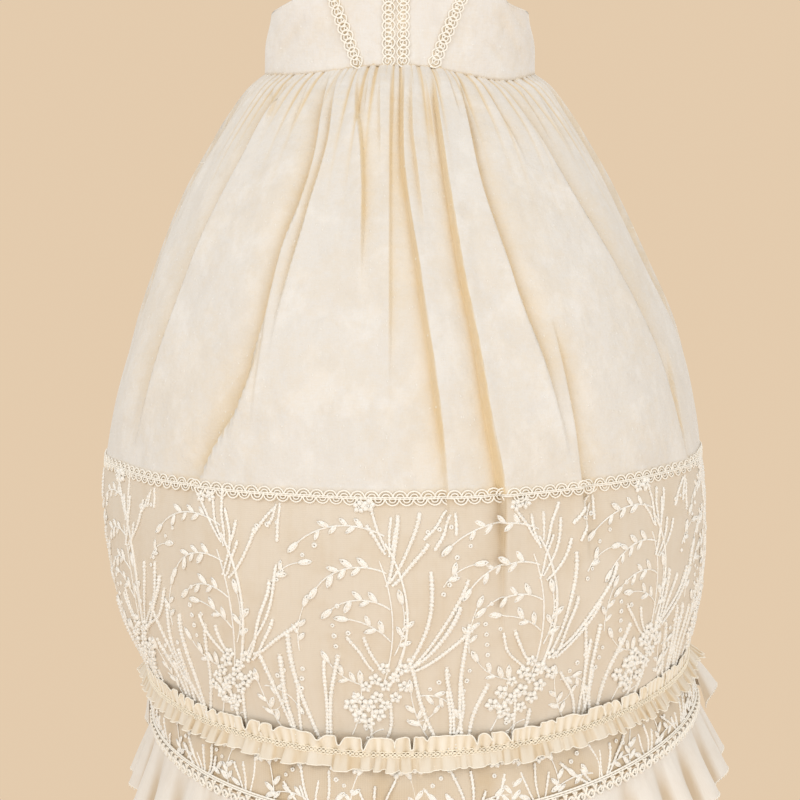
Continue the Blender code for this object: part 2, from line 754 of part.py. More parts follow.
def make_bodice_strip(strip):
    """A flat lace braid on the bodice front."""
    run = Vector((strip.head_x - strip.foot_x, strip.head_z - strip.foot_z))
    across = Vector((run.y, -run.x)).normalized() * (BODICE_BRAID_WIDTH / 2)

    def place(share, side):
        x = strip.foot_x + run.x * share + across.x * side
        z = strip.foot_z + run.y * share + across.y * side
        return bodice_place(x, z, -WAIST_FRONT_DEPTH, TRIM_LIFT)

    rows = [
        [place(1 - row / (STRIP_ROWS - 1), side) for side in (-1, 0, 1)]
        for row in range(STRIP_ROWS)
    ]
    cloth_wall(strip.name, "lace", rows, TRIM_WALL, 0.0, ring=False)


def make_button(name, height):
    """A round button with a dished face, on the upper lap of the back."""
    lap = bodice_place(0.0, height, WAIST_BACK_DEPTH, LAP_RISE)
    normal = (lap(1.0) - lap(0.0)).normalized()
    side = Vector((1.0, 0.0, 0.0))
    upward = normal.cross(side).normalized()
    centre = lap(SEAM_GAP)
    rim = BUTTON_RIM_SHARE * BUTTON_RADIUS
    dish_rise = BUTTON_THICKNESS - BUTTON_DISH
    profile = (
        (BUTTON_DISH_SHARE * BUTTON_RADIUS, dish_rise),
        (rim, BUTTON_THICKNESS),
        (BUTTON_RADIUS, BUTTON_THICKNESS / 2),
        (rim, 0.0),
    )
    mesh = bmesh.new()
    rings = []
    for radius, rise in profile:
        ring = []
        for k in range(BUTTON_SEGMENTS):
            angle = 2 * pi * k / BUTTON_SEGMENTS
            spoke = side * cos(angle) + upward * sin(angle)
            ring.append(mesh.verts.new(centre + spoke * radius + normal * rise))
        rings.append(ring)
    for above, below in zip(rings, rings[1:]):
        stitch(mesh, above, below, True)
    face_middle = mesh.verts.new(centre + normal * dish_rise)
    back_middle = mesh.verts.new(centre)
    for k in range(BUTTON_SEGMENTS):
        following = (k + 1) % BUTTON_SEGMENTS
        mesh.faces.new((rings[0][k], rings[0][following], face_middle))
        mesh.faces.new((rings[-1][k], back_middle, rings[-1][following]))
    mesh_object(name, "button", mesh)


def main():
    for old in list(bpy.data.objects):
        bpy.data.objects.remove(old)
    make_bodice_front()
    make_bodice_back("bodice_back_left", 1, over=True)
    make_bodice_back("bodice_back_right", -1, over=False)
    for strip in BODICE_STRIPS:
        make_bodice_strip(strip)
    for number, height in enumerate(BUTTON_HEIGHTS, 1):
        make_button(f"button_{number}", height)
    make_skirt()
    make_upper_braid()
    make_embroidered_tier()
    make_ruffle()
    make_lower_tier()
    make_back_flounce()
    make_lower_braid()
    make_hem_flounce()


main()
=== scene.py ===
"""A baby's christening gown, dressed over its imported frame.

Metres, +Z up, the front faces -Y. A turn round the gown starts at the centre front
and goes by the +X side to the back. Motifs are drawn flat, in millimetres.
"""

from collections import namedtuple
from math import cos, pi, radians, sin, tau

import bmesh
import bpy
import numpy as np
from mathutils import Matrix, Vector


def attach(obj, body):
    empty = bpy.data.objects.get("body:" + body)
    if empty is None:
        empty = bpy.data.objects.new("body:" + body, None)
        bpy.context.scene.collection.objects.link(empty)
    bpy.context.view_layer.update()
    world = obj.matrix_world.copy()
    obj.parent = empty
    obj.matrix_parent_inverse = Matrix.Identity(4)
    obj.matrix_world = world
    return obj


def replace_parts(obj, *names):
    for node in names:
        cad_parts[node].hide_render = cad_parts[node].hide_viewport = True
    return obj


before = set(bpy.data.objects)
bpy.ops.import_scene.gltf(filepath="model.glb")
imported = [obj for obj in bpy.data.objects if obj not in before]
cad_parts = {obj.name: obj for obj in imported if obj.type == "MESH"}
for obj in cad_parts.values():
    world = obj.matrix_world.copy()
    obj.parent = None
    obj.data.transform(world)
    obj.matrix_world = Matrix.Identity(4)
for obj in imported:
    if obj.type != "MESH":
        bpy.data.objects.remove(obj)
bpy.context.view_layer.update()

MM = 0.001

# ---- the gown's sizes

# Half-extents of the skirt from the gown's axis, to each of its four sides.
Section = namedtuple("Section", "height left right front back")
SKIRT_SECTIONS = (
    Section(-0.131, 0.0862, 0.0850, 0.0600, 0.0560),
    Section(-0.138, 0.0946, 0.0944, 0.0710, 0.0660),
    Section(-0.150, 0.1039, 0.1036, 0.0850, 0.0790),
    Section(-0.168, 0.1155, 0.1153, 0.1000, 0.0940),
    Section(-0.200, 0.1338, 0.1338, 0.1220, 0.1140),
    Section(-0.245, 0.1533, 0.1562, 0.1460, 0.1370),
    Section(-0.290, 0.1695, 0.1762, 0.1635, 0.1540),
    Section(-0.340, 0.1830, 0.1893, 0.1785, 0.1680),
    Section(-0.385, 0.1890, 0.1948, 0.1850, 0.1740),
    Section(-0.425, 0.1875, 0.1956, 0.1845, 0.1735),
    Section(-0.465, 0.1805, 0.1918, 0.1780, 0.1680),
    Section(-0.505, 0.1630, 0.1840, 0.1690, 0.1600),
    Section(-0.530, 0.1560, 0.1830, 0.1660, 0.1570),
)

# Heights of the seams and hems, at the middle of each side of the gown.
Level = namedtuple("Level", "front right back left")
WAIST = Level(-0.1315, -0.1290, -0.1305, -0.1302)
BRAID_SEAM = Level(-0.3750, -0.3675, -0.3700, -0.3710)
RUFFLE_SEAM = Level(-0.5188, -0.4985, -0.5040, -0.5085)
LOWER_BRAID_SEAM = Level(-0.5560, -0.5270, -0.5420, -0.5390)
HEM = Level(-0.6000, -0.5670, -0.5860, -0.5800)
BACK_FLOUNCE_HEM = Level(-0.5500, -0.5370, -0.5440, -0.5560)
Diagonals = namedtuple("Diagonals", "front_right back_right back_left front_left")
WAIST_SAG = Diagonals(0.0080, 0.0030, 0.0045, 0.0040)
WAIST_TABLE_HEIGHT = -0.1310
WAIST_SHIFT_FADE = 0.055
WAIST_GAP = 0.45 * MM

# How far the lower rings stand from the gown's axis.
LOWER_BRAID_REACH = Level(0.1740, 0.1915, 0.1660, 0.1590)
HEM_REACH = Level(0.1960, 0.2110, 0.1890, 0.1720)
BACK_FLOUNCE_REACH = Level(0.1900, 0.2110, 0.1890, 0.1715)
LOWER_TIER_BULGE = 0.012

# Slow swells round the gown, which make its waves uneven: size, number, start.
Swell = namedtuple("Swell", "size count phase")
COLUMN_SWELLS = (Swell(0.050, 3, 0.7), Swell(0.018, 8, 2.0))
HEM_WAVES = 32
HEM_WAVE_DEPTH = 5.5 * MM
HEM_SWELLS = (Swell(0.30, 3, 0.5), Swell(0.18, 7, 0.0))
HEM_LEANS = (Swell(0.5, 5, 0.0),)
BACK_WAVES = 14
BACK_FLOUNCE_WAVE = Level(0.0050, 0.0050, 0.0050, 0.0016)
BACK_SWELLS = (Swell(0.25, 2.3, 1.0),)
BACK_FLOUNCE_START = radians(91)
BACK_FLOUNCE_END = radians(269)
BACK_FLOUNCE_DROP = 1.5 * MM
BACK_FLOUNCE_LIFT = 0.9 * MM
BACK_FLOUNCE_BOW = 1.2 * MM
ORGANZA_WALL = 1.2 * MM
RUFFLE_WAVES = 84
RUFFLE_LEANS = (Swell(0.6, 9, 1.0),)
RUFFLE_PUSH_FROM = radians(79)
RUFFLE_PUSH_TO = radians(90)

# Folds that fall from the gathers: one panel of cloth laps over the next. The route
# is in degrees round the gown and in millimetres of height. The upper panel lies on
# the +theta side where lap is 1, and on the other side where it is -1.
Fold = namedtuple("Fold", "route depth_mm width_deg lap")
FOLDS = (
    Fold(((-43, -125), (-46, -150), (-47, -185), (-52, -250), (-54, -297), (-57, -345),
          (-62, -385)), 5.2, 5.5, 1),
    Fold(((-29, -125), (-26, -149), (-23, -186), (-24, -215), (-26, -240), (-27, -278),
          (-29, -310), (-31, -360)), 4.4, 3.4, 1),
    Fold(((-25, -125), (-22, -153), (-20, -182), (-21.5, -216), (-24, -270), (-25, -310)),
         2.6, 1.5, 1),
    Fold(((-26.5, -245), (-26.5, -300), (-26.5, -345)), 0.9, 0.9, 1),
    Fold(((-26, -285), (-30, -329), (-34, -352), (-40, -395)), 4.0, 5.0, 1),
    Fold(((-16, -125), (-13, -159), (-10.5, -177), (-8.8, -199), (-8, -223), (-7, -275)),
         2.6, 2.4, -1),
    Fold(((-8, -125), (-6.5, -160), (-5, -200)), 1.2, 0.9, 1),
    Fold(((-3, -125), (-2, -205), (-1.5, -285), (-1.5, -350)), 1.5, 2.0, -1),
    Fold(((1.5, -125), (0.5, -160), (0.5, -190), (1.5, -215), (3.2, -249), (4, -272),
          (5, -297), (6.5, -345), (8, -430)), 3.6, 2.8, 1),
    Fold(((4, -125), (3, -170), (3.8, -198), (5.2, -250)), 2.0, 1.2, 1),
    Fold(((12.3, -125), (11, -160), (11, -205), (12, -255), (13.2, -290), (14.5, -335),
          (16, -372), (16.5, -500)), 4.4, 2.3, 1),
    Fold(((23, -125), (20.5, -165), (20, -205), (22.5, -247), (24, -275), (26.5, -305),
          (30, -370)), 4.4, 3.4, -1),
    Fold(((44, -125), (43.3, -165), (45, -192), (50.5, -237), (54, -272), (57.3, -300),
          (61, -350), (63, -410)), 4.8, 4.6, -1),
    Fold(((29.5, -275), (31, -334), (31.5, -372), (33, -430)), 2.8, 3.2, -1),
    Fold(((65, -290), (63, -330), (62, -375)), 1.6, 2.5, 1),
    Fold(((-60, -125), (-50, -150), (-47, -185)), 2.2, 2.0, 1),
    Fold(((-50, -125), (-45, -150), (-43, -172)), 1.8, 1.4, -1),
    Fold(((-36, -125), (-34, -150), (-33, -180)), 1.4, 1.3, 1),
    Fold(((-11.5, -125), (-11, -165)), 1.6, 1.0, 1),
    Fold(((8, -125), (8.8, -150), (9, -195)), 1.5, 1.2, 1),
    Fold(((17.8, -125), (18.2, -168)), 1.5, 1.0, -1),
    Fold(((32, -125), (33, -157), (35, -195)), 2.4, 2.0, -1),
    Fold(((53, -125), (50, -155), (49, -180)), 2.0, 1.7, -1),
    Fold(((62, -125), (57, -163), (56, -195)), 2.2, 2.0, -1),
    Fold(((80, -125), (84, -330)), 4.4, 4.5, 1),
    Fold(((101, -125), (98, -390)), 4.6, 4.0, -1),
    Fold(((122, -125), (126, -350)), 5.0, 3.8, 1),
    Fold(((141, -125), (139, -290)), 3.4, 3.0, -1),
    Fold(((150, -125), (152, -230)), 2.4, 1.8, 1),
    Fold(((157, -125), (160, -420)), 5.0, 4.0, 1),
    Fold(((176, -125), (175, -320)), 4.0, 3.0, -1),
    Fold(((184, -125), (185, -240)), 2.4, 1.8, 1),
    Fold(((192, -125), (196, -450)), 5.0, 3.6, 1),
    Fold(((211, -125), (208, -280)), 3.4, 3.2, -1),
    Fold(((228, -125), (233, -380)), 5.0, 4.4, 1),
    Fold(((239, -125), (241, -250)), 2.6, 2.0, 1),
    Fold(((252, -125), (249, -400)), 4.4, 3.6, -1),
    Fold(((279, -125), (275, -320)), 4.0, 4.4, -1),
    Fold(((291, -125), (290, -240)), 2.6, 2.4, 1),
)
FOLD_GROWTH = 0.040
FOLD_FADE_SHARE = 0.38
FOLD_STRENGTH = 1.05
LAP_WIDTH_DEG = 0.55
LAP_SINK_POWER = 1.25
LAP_RIDGE_SHARE = 0.45
LAP_RIDGE_WIDTH = 0.9
# How much shade is painted on the cloth beside each fold's lap, and how far it reaches.
FULL_SHADE_DEPTH_MM = 3.6
MOST_SHADE = 1.1
SINKING_SHADE = 0.75
SINKING_REACH = 0.8
LAP_SHADE = 0.6
LAP_SHADE_REACH = radians(0.4)
LAP_COVER = (0.75, 1.3)
PUCKER_DEPTH = 0.75 * MM
PUCKERS_ROUND = 9
PUCKERS_DOWN = 42
SECOND_PUCKERS_ROUND = 16
SECOND_PUCKER_SHARE = 0.7
PUCKERS_START = (0.02, 0.10)

# Gathers at the waist: how many, how deep, and how far down they run.
GatherSet = namedtuple("GatherSet", "count depth_mm fade_from fade_to seed")
GATHER_SETS = (
    GatherSet(67, 3.0, 0.010, 0.052, 4),
    GatherSet(115, 1.5, 0.006, 0.018, 9),
)
VALLEY_SHARPNESS = 0.62
VALLEY_GAPS = (0.35, 1.85)
GATHER_STRENGTHS = (0.45, 1.3)
GATHER_FADE_POWER = 1.6
MEAN_RIDGE = 0.6

# The bodice: half-widths and heights on its flat front view, with +X out and +Z up.
WAIST_FRONT_DEPTH = 0.0600
WAIST_BACK_DEPTH = 0.0560
SIDE_SEAM_TOP_HEIGHT = -0.0937
ARMHOLE_LOW = (0.0655, -0.0890)
ARMHOLE_INSIDE = (0.0555, -0.0500)
SHOULDER_TIP = (0.0685, -0.0045)
NECK_POINT = (0.0420, 0.0090)
FRONT_NECK_DROP = -0.0500
BACK_NECK_DROP = -0.0170
BODICE_WIDTHS = (
    (-0.1400, 0.0861), (-0.1300, 0.0861), (-0.1130, 0.0858), (-0.0937, 0.0820),
    (-0.0500, 0.0825), (0.0100, 0.0840),
)
SHOULDER_ROUNDING = 5.0
CHEST_SQUARENESS = 0.4
CHEST_SQUARE_FROM = 0.35
NORMAL_STEP = 0.8 * MM
SIDE_SEAM_SHARE = 0.28
ARMHOLE_LOW_SHARE = 0.42
ARMHOLE_INSIDE_SHARE = 0.72
NECK_SHARE = 0.68
NECK_ACROSS_POWER = 0.9
NECK_RISE_POWER = 1.1
LAP_HALF_WIDTH = 8.0 * MM
LAP_FLARE_POWER = 4
LAP_LEVEL_TO = 10.5 * MM
LAP_EASE_TO = 24.0 * MM
LAP_RISE = 2.1 * MM
SEAM_GAP = 0.3 * MM
BODICE_THICKNESS = 1.2 * MM

Strip = namedtuple("Strip", "name foot_x foot_z head_x head_z outer_side")
BODICE_STRIPS = (
    Strip("braid_side_left", -0.0256, -0.1290, -0.0500, -0.0645, 1),
    Strip("braid_centre_left", -0.0064, -0.1290, -0.0064, -0.0515, 1),
    Strip("braid_centre_right", 0.0015, -0.1290, 0.0015, -0.0515, -1),
    Strip("braid_side_right", 0.0205, -0.1290, 0.0478, -0.0645, -1),
)
BUTTON_RADIUS = 4.5 * MM
BUTTON_THICKNESS = 2.4 * MM
BUTTON_HEIGHTS = (-0.036, -0.070, -0.104)

# ---- curves and levels


def smoothstep(low, high, value):
    """0 below low, 1 above high, eased between."""
    share = np.clip((value - low) / (high - low), 0.0, 1.0)
    return share * share * (3 - 2 * share)


def cubic(stations, values, place):
    """A smooth curve through the values, with stations rising."""
    stations = np.asarray(stations, float)
    values = np.asarray(values, float)
    last = len(stations) - 1
    index = np.arange(last + 1)
    before = np.maximum(index - 1, 0)
    after = np.minimum(index + 1, last)
    slopes = (values[after] - values[before]) / (stations[after] - stations[before])
    k = np.clip(np.searchsorted(stations, place, side="right") - 1, 0, last - 1)
    span = stations[k + 1] - stations[k]
    share = (place - stations[k]) / span
    rest = 1 - share
    return (
        values[k] * rest * rest * (1 + 2 * share)
        + values[k + 1] * share * share * (3 - 2 * share)
        + slopes[k] * span * share * rest * rest
        - slopes[k + 1] * span * share * share * rest
    )


def points(x, y, z):
    return np.stack(np.broadcast_arrays(x, y, z), axis=-1)


def unit(vectors):
    return vectors / np.linalg.norm(vectors, axis=-1, keepdims=True)


def swelling(swells, turn):
    """The sum of the slow swells at this place round the gown."""
    return sum(row.size * np.sin(tau * row.count * turn + row.phase) for row in swells)


def nearest_sides(theta, size):
    """The values of the left or right side and of the front or back, whichever is nearer."""
    across = np.where(np.sin(theta) > 0, size.right, size.left)
    return across, np.where(np.cos(theta) > 0, size.front, size.back)


def round_the_gown(theta, level):
    """One value for each side of the gown, eased from side to side."""
    along_x, along_y = nearest_sides(theta, level)
    return along_y * np.cos(theta) ** 2 + along_x * np.sin(theta) ** 2


def waist_height(theta):
    front = np.cos(theta) > 0
    on_right = np.where(front, WAIST_SAG.front_right, WAIST_SAG.back_right)
    on_left = np.where(front, WAIST_SAG.front_left, WAIST_SAG.back_left)
    sag = np.where(np.sin(theta) > 0, on_right, on_left)
    return round_the_gown(theta, WAIST) - sag * np.sin(2 * theta) ** 2


def oval_point(theta, size, height):
    """The point of an oval with its own reach to each of the four sides."""
    along_x, along_y = nearest_sides(theta, size)
    return points(along_x * np.sin(theta), -along_y * np.cos(theta), height)


def azimuth(turn):
    """The angle of a column. The columns are a little uneven, as gathers are."""
    return tau * turn + swelling(COLUMN_SWELLS, turn)


def ring_turns(count):
    return np.arange(count) / count


def uneven_valleys(random, gap_range, count):
    """Valleys that lie unevenly round the gown, the first at 0 and the last at 1."""
    gaps = random.uniform(*gap_range, count)
    return np.concatenate(([0.0], np.cumsum(gaps))) / gaps.sum()


def outward(surface, first, second, step=0.002):
    """The normal of surface(first, second), away from the gown's axis."""
    across = surface(first + step, second) - surface(first - step, second)
    down = surface(first, second + step) - surface(first, second - step)
    normal = unit(np.cross(across, down))
    middle = surface(first, second)
    away = normal[..., 0] * middle[..., 0] + normal[..., 1] * middle[..., 1]
    return normal * np.where(away > 0, 1.0, -1.0)[..., None]


# ---- the skirt's form


def section_at(height):
    rows = SKIRT_SECTIONS[::-1]
    heights = [row.height for row in rows]
    sides = list(zip(*(row[1:] for row in rows)))
    return Section(height, *(cubic(heights, side, height) for side in sides))


def skirt_base(theta, height):
    """The skirt without its folds. The waist seam's sag fades out a little below it."""
    shift = waist_height(theta) - WAIST_TABLE_HEIGHT
    kept = 1 - smoothstep(0.0, WAIST_SHIFT_FADE, WAIST_TABLE_HEIGHT - height)
    return oval_point(theta, section_at(height), height + shift * kept)


def lap_profile(away, width):
    """One panel sinks towards the lap, and the other starts above it."""
    sinking = -np.exp(-(np.maximum(-away, 0.0) / width) ** LAP_SINK_POWER)
    lap = radians(LAP_WIDTH_DEG)
    rising = smoothstep(0.0, lap, away)
    past = np.maximum(away - lap, 0.0) / (width * LAP_RIDGE_WIDTH)
    ridge = LAP_RIDGE_SHARE * np.exp(-(past**2))
    return sinking + (1 + ridge) * rising


def folds_at(theta, height):
    """How far the folds move the cloth out, and how much shade is painted into the cloth beside their
    laps, from 0 to 1.
    """
    relief = np.zeros(np.broadcast(theta, height).shape)
    shade = relief.copy()
    for fold in FOLDS:
        angles, heights = zip(*fold.route)
        drops = -np.array(heights) * MM
        centre = np.radians(cubic(drops, angles, np.clip(-height, drops[0], drops[-1])))
        away = ((theta - centre + pi) % tau - pi) * fold.lap
        width = radians(fold.width_deg)
        grown = smoothstep(0.0, FOLD_GROWTH, -height - drops[0])
        faded = smoothstep(0.0, FOLD_FADE_SHARE, (drops[-1] + height) / (drops[-1] - drops[0]))
        depth = fold.depth_mm * grown * faded
        relief += FOLD_STRENGTH * depth * MM * lap_profile(away, width)
        # Painted shade on the sunk panel beside each lap, strongest where the fold is deep.
        beside = np.maximum(-away, 0.0)
        sinking = SINKING_SHADE * np.exp(-beside / (SINKING_REACH * width))
        sinking = sinking + LAP_SHADE * np.exp(-beside / LAP_SHADE_REACH)
        covered = 1 - smoothstep(*LAP_COVER, away / radians(LAP_WIDTH_DEG))
        deep = np.minimum(depth / FULL_SHADE_DEPTH_MM, MOST_SHADE)
        shade += sinking * covered * deep * faded
    return relief, np.clip(shade, 0.0, 1.0)


def gather_relief(theta, below_waist, gathers):
    """Uneven gathers with rounded ridges and sharp valleys."""
    random = np.random.default_rng(gathers.seed)
    valleys = uneven_valleys(random, VALLEY_GAPS, gathers.count) * tau
    around = np.mod(theta, tau)
    phase = np.interp(around, valleys, np.arange(gathers.count + 1))
    middles = (valleys[:-1] + valleys[1:]) / 2
    depths = random.uniform(*GATHER_STRENGTHS, gathers.count) * gathers.depth_mm * MM
    fades = random.uniform(gathers.fade_from, gathers.fade_to, gathers.count)
    depth = np.interp(around, middles, depths, period=tau)
    fade = np.interp(around, middles, fades, period=tau)
    profile = np.abs(np.sin(pi * phase)) ** VALLEY_SHARPNESS - MEAN_RIDGE
    return depth * np.exp(-((below_waist / fade) ** GATHER_FADE_POWER)) * profile


def gathers_at(theta, height):
    below_waist = np.maximum(0.0, WAIST_TABLE_HEIGHT - height)
    return sum(gather_relief(theta, below_waist, row) for row in GATHER_SETS)


def puckers_at(theta, height):
    """The cloth's own slow unevenness between its folds."""
    across = theta * PUCKERS_ROUND
    down = height * PUCKERS_DOWN
    waves = np.sin(across + 1.3 * np.sin(down + 2 * np.sin(theta)))
    second = SECOND_PUCKERS_ROUND * theta + 1.9 * np.sin(0.7 * down + 1.0) + 2.0
    waves = waves + SECOND_PUCKER_SHARE * np.sin(second)
    grown = smoothstep(*PUCKERS_START, WAIST_TABLE_HEIGHT - height)
    return PUCKER_DEPTH * waves * grown


def skirt_relief(theta, height):
    return folds_at(theta, height)[0] + gathers_at(theta, height) + puckers_at(theta, height)


def skirt_point(theta, height, out=0.0):
    normal = outward(skirt_base, theta, height)
    level = level_outward(normal)
    relief = skirt_relief(theta, height)[..., None]
    return skirt_base(theta, height) + level * relief + normal * np.asarray(out)[..., None]


def between_levels(theta, upper, lower, share):
    """A height the given share of the way from one seam down to the next."""
    high = round_the_gown(theta, upper)
    low = round_the_gown(theta, lower)
    return high + (low - high) * share


def lower_tier_base(theta, share):
    """The lower tier, from the ruffle's seam down to the lower braid."""
    top = skirt_base(theta, round_the_gown(theta, RUFFLE_SEAM))
    foot = oval_point(theta, LOWER_BRAID_REACH, round_the_gown(theta, LOWER_BRAID_SEAM))
    share = np.asarray(share)
    bulge = 1 + LOWER_TIER_BULGE * np.sin(pi * np.clip(share, 0.0, 1.0))
    spread = points(bulge, bulge, 1.0)
    return (top + (foot - top) * share[..., None]) * spread


def level_outward(base):
    return unit(base * np.array((1.0, 1.0, 0.0)))


def hem_flounce_base(theta, share):
    top = oval_point(theta, LOWER_BRAID_REACH, round_the_gown(theta, LOWER_BRAID_SEAM))
    foot = oval_point(theta, HEM_REACH, round_the_gown(theta, HEM))
    return top + (foot - top) * np.asarray(share)[..., None]


def back_flounce_base(theta, share):
    top = skirt_base(theta, round_the_gown(theta, RUFFLE_SEAM))
    top = top - np.array((0.0, 0.0, BACK_FLOUNCE_DROP))
    foot = oval_point(theta, BACK_FLOUNCE_REACH, round_the_gown(theta, BACK_FLOUNCE_HEM))
    return top + (foot - top) * np.asarray(share)[..., None]


def lifted(surface, theta, share, out):
    normal = outward(surface, theta, share)
    return surface(theta, share) + normal * np.asarray(out)[..., None]


def hem_wave(turn, share):
    """The flounce's wave, from flat at its seam to full at its hem."""
    swell = 1 + swelling(HEM_SWELLS, turn)
    lean = swelling(HEM_LEANS, turn)
    return HEM_WAVE_DEPTH * swell * share * np.cos(tau * HEM_WAVES * turn + lean)


def ruffle_base(theta, rise):
    """The surface that the ruffle lies on, the given distance above its stitching."""
    seam = round_the_gown(theta, RUFFLE_SEAM)
    above = skirt_base(theta, seam + np.maximum(rise, 0.0))
    foot = lower_tier_base(theta, np.ones_like(theta))
    top = lower_tier_base(theta, np.zeros_like(theta))
    depth = np.linalg.norm(top - foot, axis=-1)
    below = lower_tier_base(theta, np.maximum(-rise, 0.0) / depth)
    return np.where((rise >= 0)[..., None], above, below)


# ---- the bodice's form


def shoulder_height(x):
    """The shoulder line, from the neck point down to the shoulder's tip."""
    (neck_x, neck_z), (tip_x, tip_z) = NECK_POINT, SHOULDER_TIP
    return neck_z + (tip_z - neck_z) * (np.abs(x) - neck_x) / (tip_x - neck_x)


def body_half_width(height):
    """Half the bodice's width, were it to go straight up to the shoulders."""
    heights, half_widths = zip(*BODICE_WIDTHS)
    return cubic(heights, half_widths, height)


def bodice_surface(x, height, depth):
    """A point of the bodice. A negative depth is the front's, a positive one the back's."""
    across = np.minimum(1.0, np.abs(x) / body_half_width(height))
    up = (height - WAIST_TABLE_HEIGHT) / (shoulder_height(x) - WAIST_TABLE_HEIGHT)
    up = np.clip(up, 0.0, 1.0)
    squareness = 2 + CHEST_SQUARENESS * smoothstep(0.0, CHEST_SQUARE_FROM, up)
    rounded = (1 - across**squareness) ** (1 / squareness)
    domed = np.sqrt(1 - up**SHOULDER_ROUNDING)
    return points(x, depth * rounded * domed, height)


def bodice_normal(x, height, depth):
    """The outward normal, found a little inside the edges where the form turns edge on."""
    margin = 2 * NORMAL_STEP
    inside = np.minimum(np.abs(x), body_half_width(height) - margin)
    x_in = np.where(x > 0, inside, -inside)
    height_in = np.minimum(height, shoulder_height(x_in) - margin)

    def at(dx, dz):
        return bodice_surface(x_in + dx * NORMAL_STEP, height_in + dz * NORMAL_STEP, depth)

    normal = unit(np.cross(at(1, 0) - at(-1, 0), at(0, 1) - at(0, -1)))
    return normal * np.where(normal[..., 1] * depth > 0, 1.0, -1.0)[..., None]


def side_line(share):
    """The panel's outer edge, up the side seam and round the armhole to the shoulder."""
    rise = SIDE_SEAM_TOP_HEIGHT - WAIST_TABLE_HEIGHT
    seam_z = WAIST_TABLE_HEIGHT + rise * share / SIDE_SEAM_SHARE
    seam_top = (float(body_half_width(SIDE_SEAM_TOP_HEIGHT)), SIDE_SEAM_TOP_HEIGHT)
    corners = (seam_top, ARMHOLE_LOW, ARMHOLE_INSIDE, SHOULDER_TIP)
    stations = (SIDE_SEAM_SHARE, ARMHOLE_LOW_SHARE, ARMHOLE_INSIDE_SHARE, 1.0)
    xs, zs = zip(*corners)
    on_seam = share <= SIDE_SEAM_SHARE
    x = np.where(on_seam, body_half_width(seam_z), cubic(stations, xs, share))
    return x, np.where(on_seam, seam_z, cubic(stations, zs, share))


def top_line(share, neck_drop):
    """The panel's top edge from its middle: half the neckline, then the shoulder seam."""
    part = np.clip((share - NECK_SHARE) / (1 - NECK_SHARE), 0.0, 1.0)
    shoulder_x = NECK_POINT[0] + (SHOULDER_TIP[0] - NECK_POINT[0]) * part
    round_neck = np.clip(share / NECK_SHARE, 0.0, 1.0) * pi / 2
    neck_x = NECK_POINT[0] * np.sin(round_neck) ** NECK_ACROSS_POWER
    rise = 1 - np.clip(np.cos(round_neck), 0.0, 1.0) ** NECK_RISE_POWER
    neck_z = neck_drop + (NECK_POINT[1] - neck_drop) * rise
    on_shoulder = share > NECK_SHARE
    x = np.where(on_shoulder, shoulder_x, neck_x)
    return x, np.where(on_shoulder, shoulder_height(shoulder_x), neck_z)


def panel_place(across, up, neck_drop):
    """Where a point of the flat panel lies, across and up each from 0 to 1."""
    foot_x, foot_z = (float(value) for value in side_line(np.array(0.0)))
    waist_x = foot_x * np.sin(across * pi / 2)
    top_x, top_z = top_line(across, neck_drop)
    side_x, side_z = side_line(up)
    middle_z = WAIST_TABLE_HEIGHT + (neck_drop - WAIST_TABLE_HEIGHT) * up
    corner_x, corner_z = SHOULDER_TIP
    x = waist_x * (1 - up) + top_x * up + side_x * across
    x = x - foot_x * across * (1 - up) - corner_x * across * up
    z = foot_z * (1 - up) + top_z * up + middle_z * (1 - across) + side_z * across
    z = z - foot_z * (1 - up) - neck_drop * (1 - across) * up - corner_z * across * up
    return x, z


def with_waist_sag(x, height, up, depth):
    """A panel point once its lower edge follows the waist seam, and its sides the body."""
    share = np.clip(x / body_half_width(height), -1.0, 1.0)
    theta = np.arcsin(share) if depth < 0 else pi - np.arcsin(share)
    sagged = height + (waist_height(theta) - WAIST_TABLE_HEIGHT) * (1 - up) ** 2
    return x * body_half_width(sagged) / body_half_width(height), sagged


def bodice_point(x, height, depth, out):
    """A point of a panel, kept clear of the middle plane where front and back meet."""
    normal = bodice_normal(x, height, depth)
    place = bodice_surface(x, height, depth) + normal * np.asarray(out)[..., None]
    half_gap = SEAM_GAP / 2
    if depth > 0:
        place[..., 1] = np.maximum(half_gap, place[..., 1])
    else:
        place[..., 1] = np.minimum(-half_gap, place[..., 1])
    return place


def lap_lift(x):
    """How far the upper lap of the back stands out."""
    return LAP_RISE * (1 - smoothstep(LAP_LEVEL_TO, LAP_EASE_TO, np.abs(x)))


# ---- meshes of cloth

WELD_REACH = 1e-6


def quad_faces(rows, columns, ring, start=0, inward=False):
    """The corners of a grid's quads. Rows go down and columns go round by +theta."""
    spans = columns if ring else columns - 1
    row, column = np.meshgrid(np.arange(rows - 1), np.arange(spans), indexing="ij")
    after = (column + 1) % columns
    above, below = row * columns, (row + 1) * columns
    corners = (above + column, below + column, below + after, above + after)
    faces = np.stack(corners[::-1] if inward else corners, axis=-1)
    return faces.reshape(-1, 4) + start


def mesh_of(name, places, faces):
    mesh = bpy.data.meshes.new(name)
    mesh.from_pydata(places.reshape(-1, 3).tolist(), [], faces.tolist())
    return mesh


def add_flat_map(mesh, flat):
    """Gives each face corner its place on the flat cloth, in metres."""
    layer = mesh.uv_layers.new(name="cloth")
    layer.data.foreach_set("uv", np.ascontiguousarray(flat, np.float32).ravel())


def add_number(mesh, name, values):
    attribute = mesh.attributes.new(name, "FLOAT", "POINT")
    attribute.data.foreach_set("value", np.ascontiguousarray(values, np.float32).ravel())


def add_direction(mesh, name, vectors):
    attribute = mesh.attributes.new(name, "FLOAT_VECTOR", "POINT")
    attribute.data.foreach_set("vector", np.ascontiguousarray(vectors, np.float32).ravel())


def show(name, mesh, finish=None):
    """Puts a mesh in the scene as a finished piece of the gown."""
    if finish is not None:
        mesh.materials.append(finish)
    mesh.shade_smooth()
    piece = bpy.data.objects.new(name, mesh)
    bpy.context.scene.collection.objects.link(piece)
    return piece


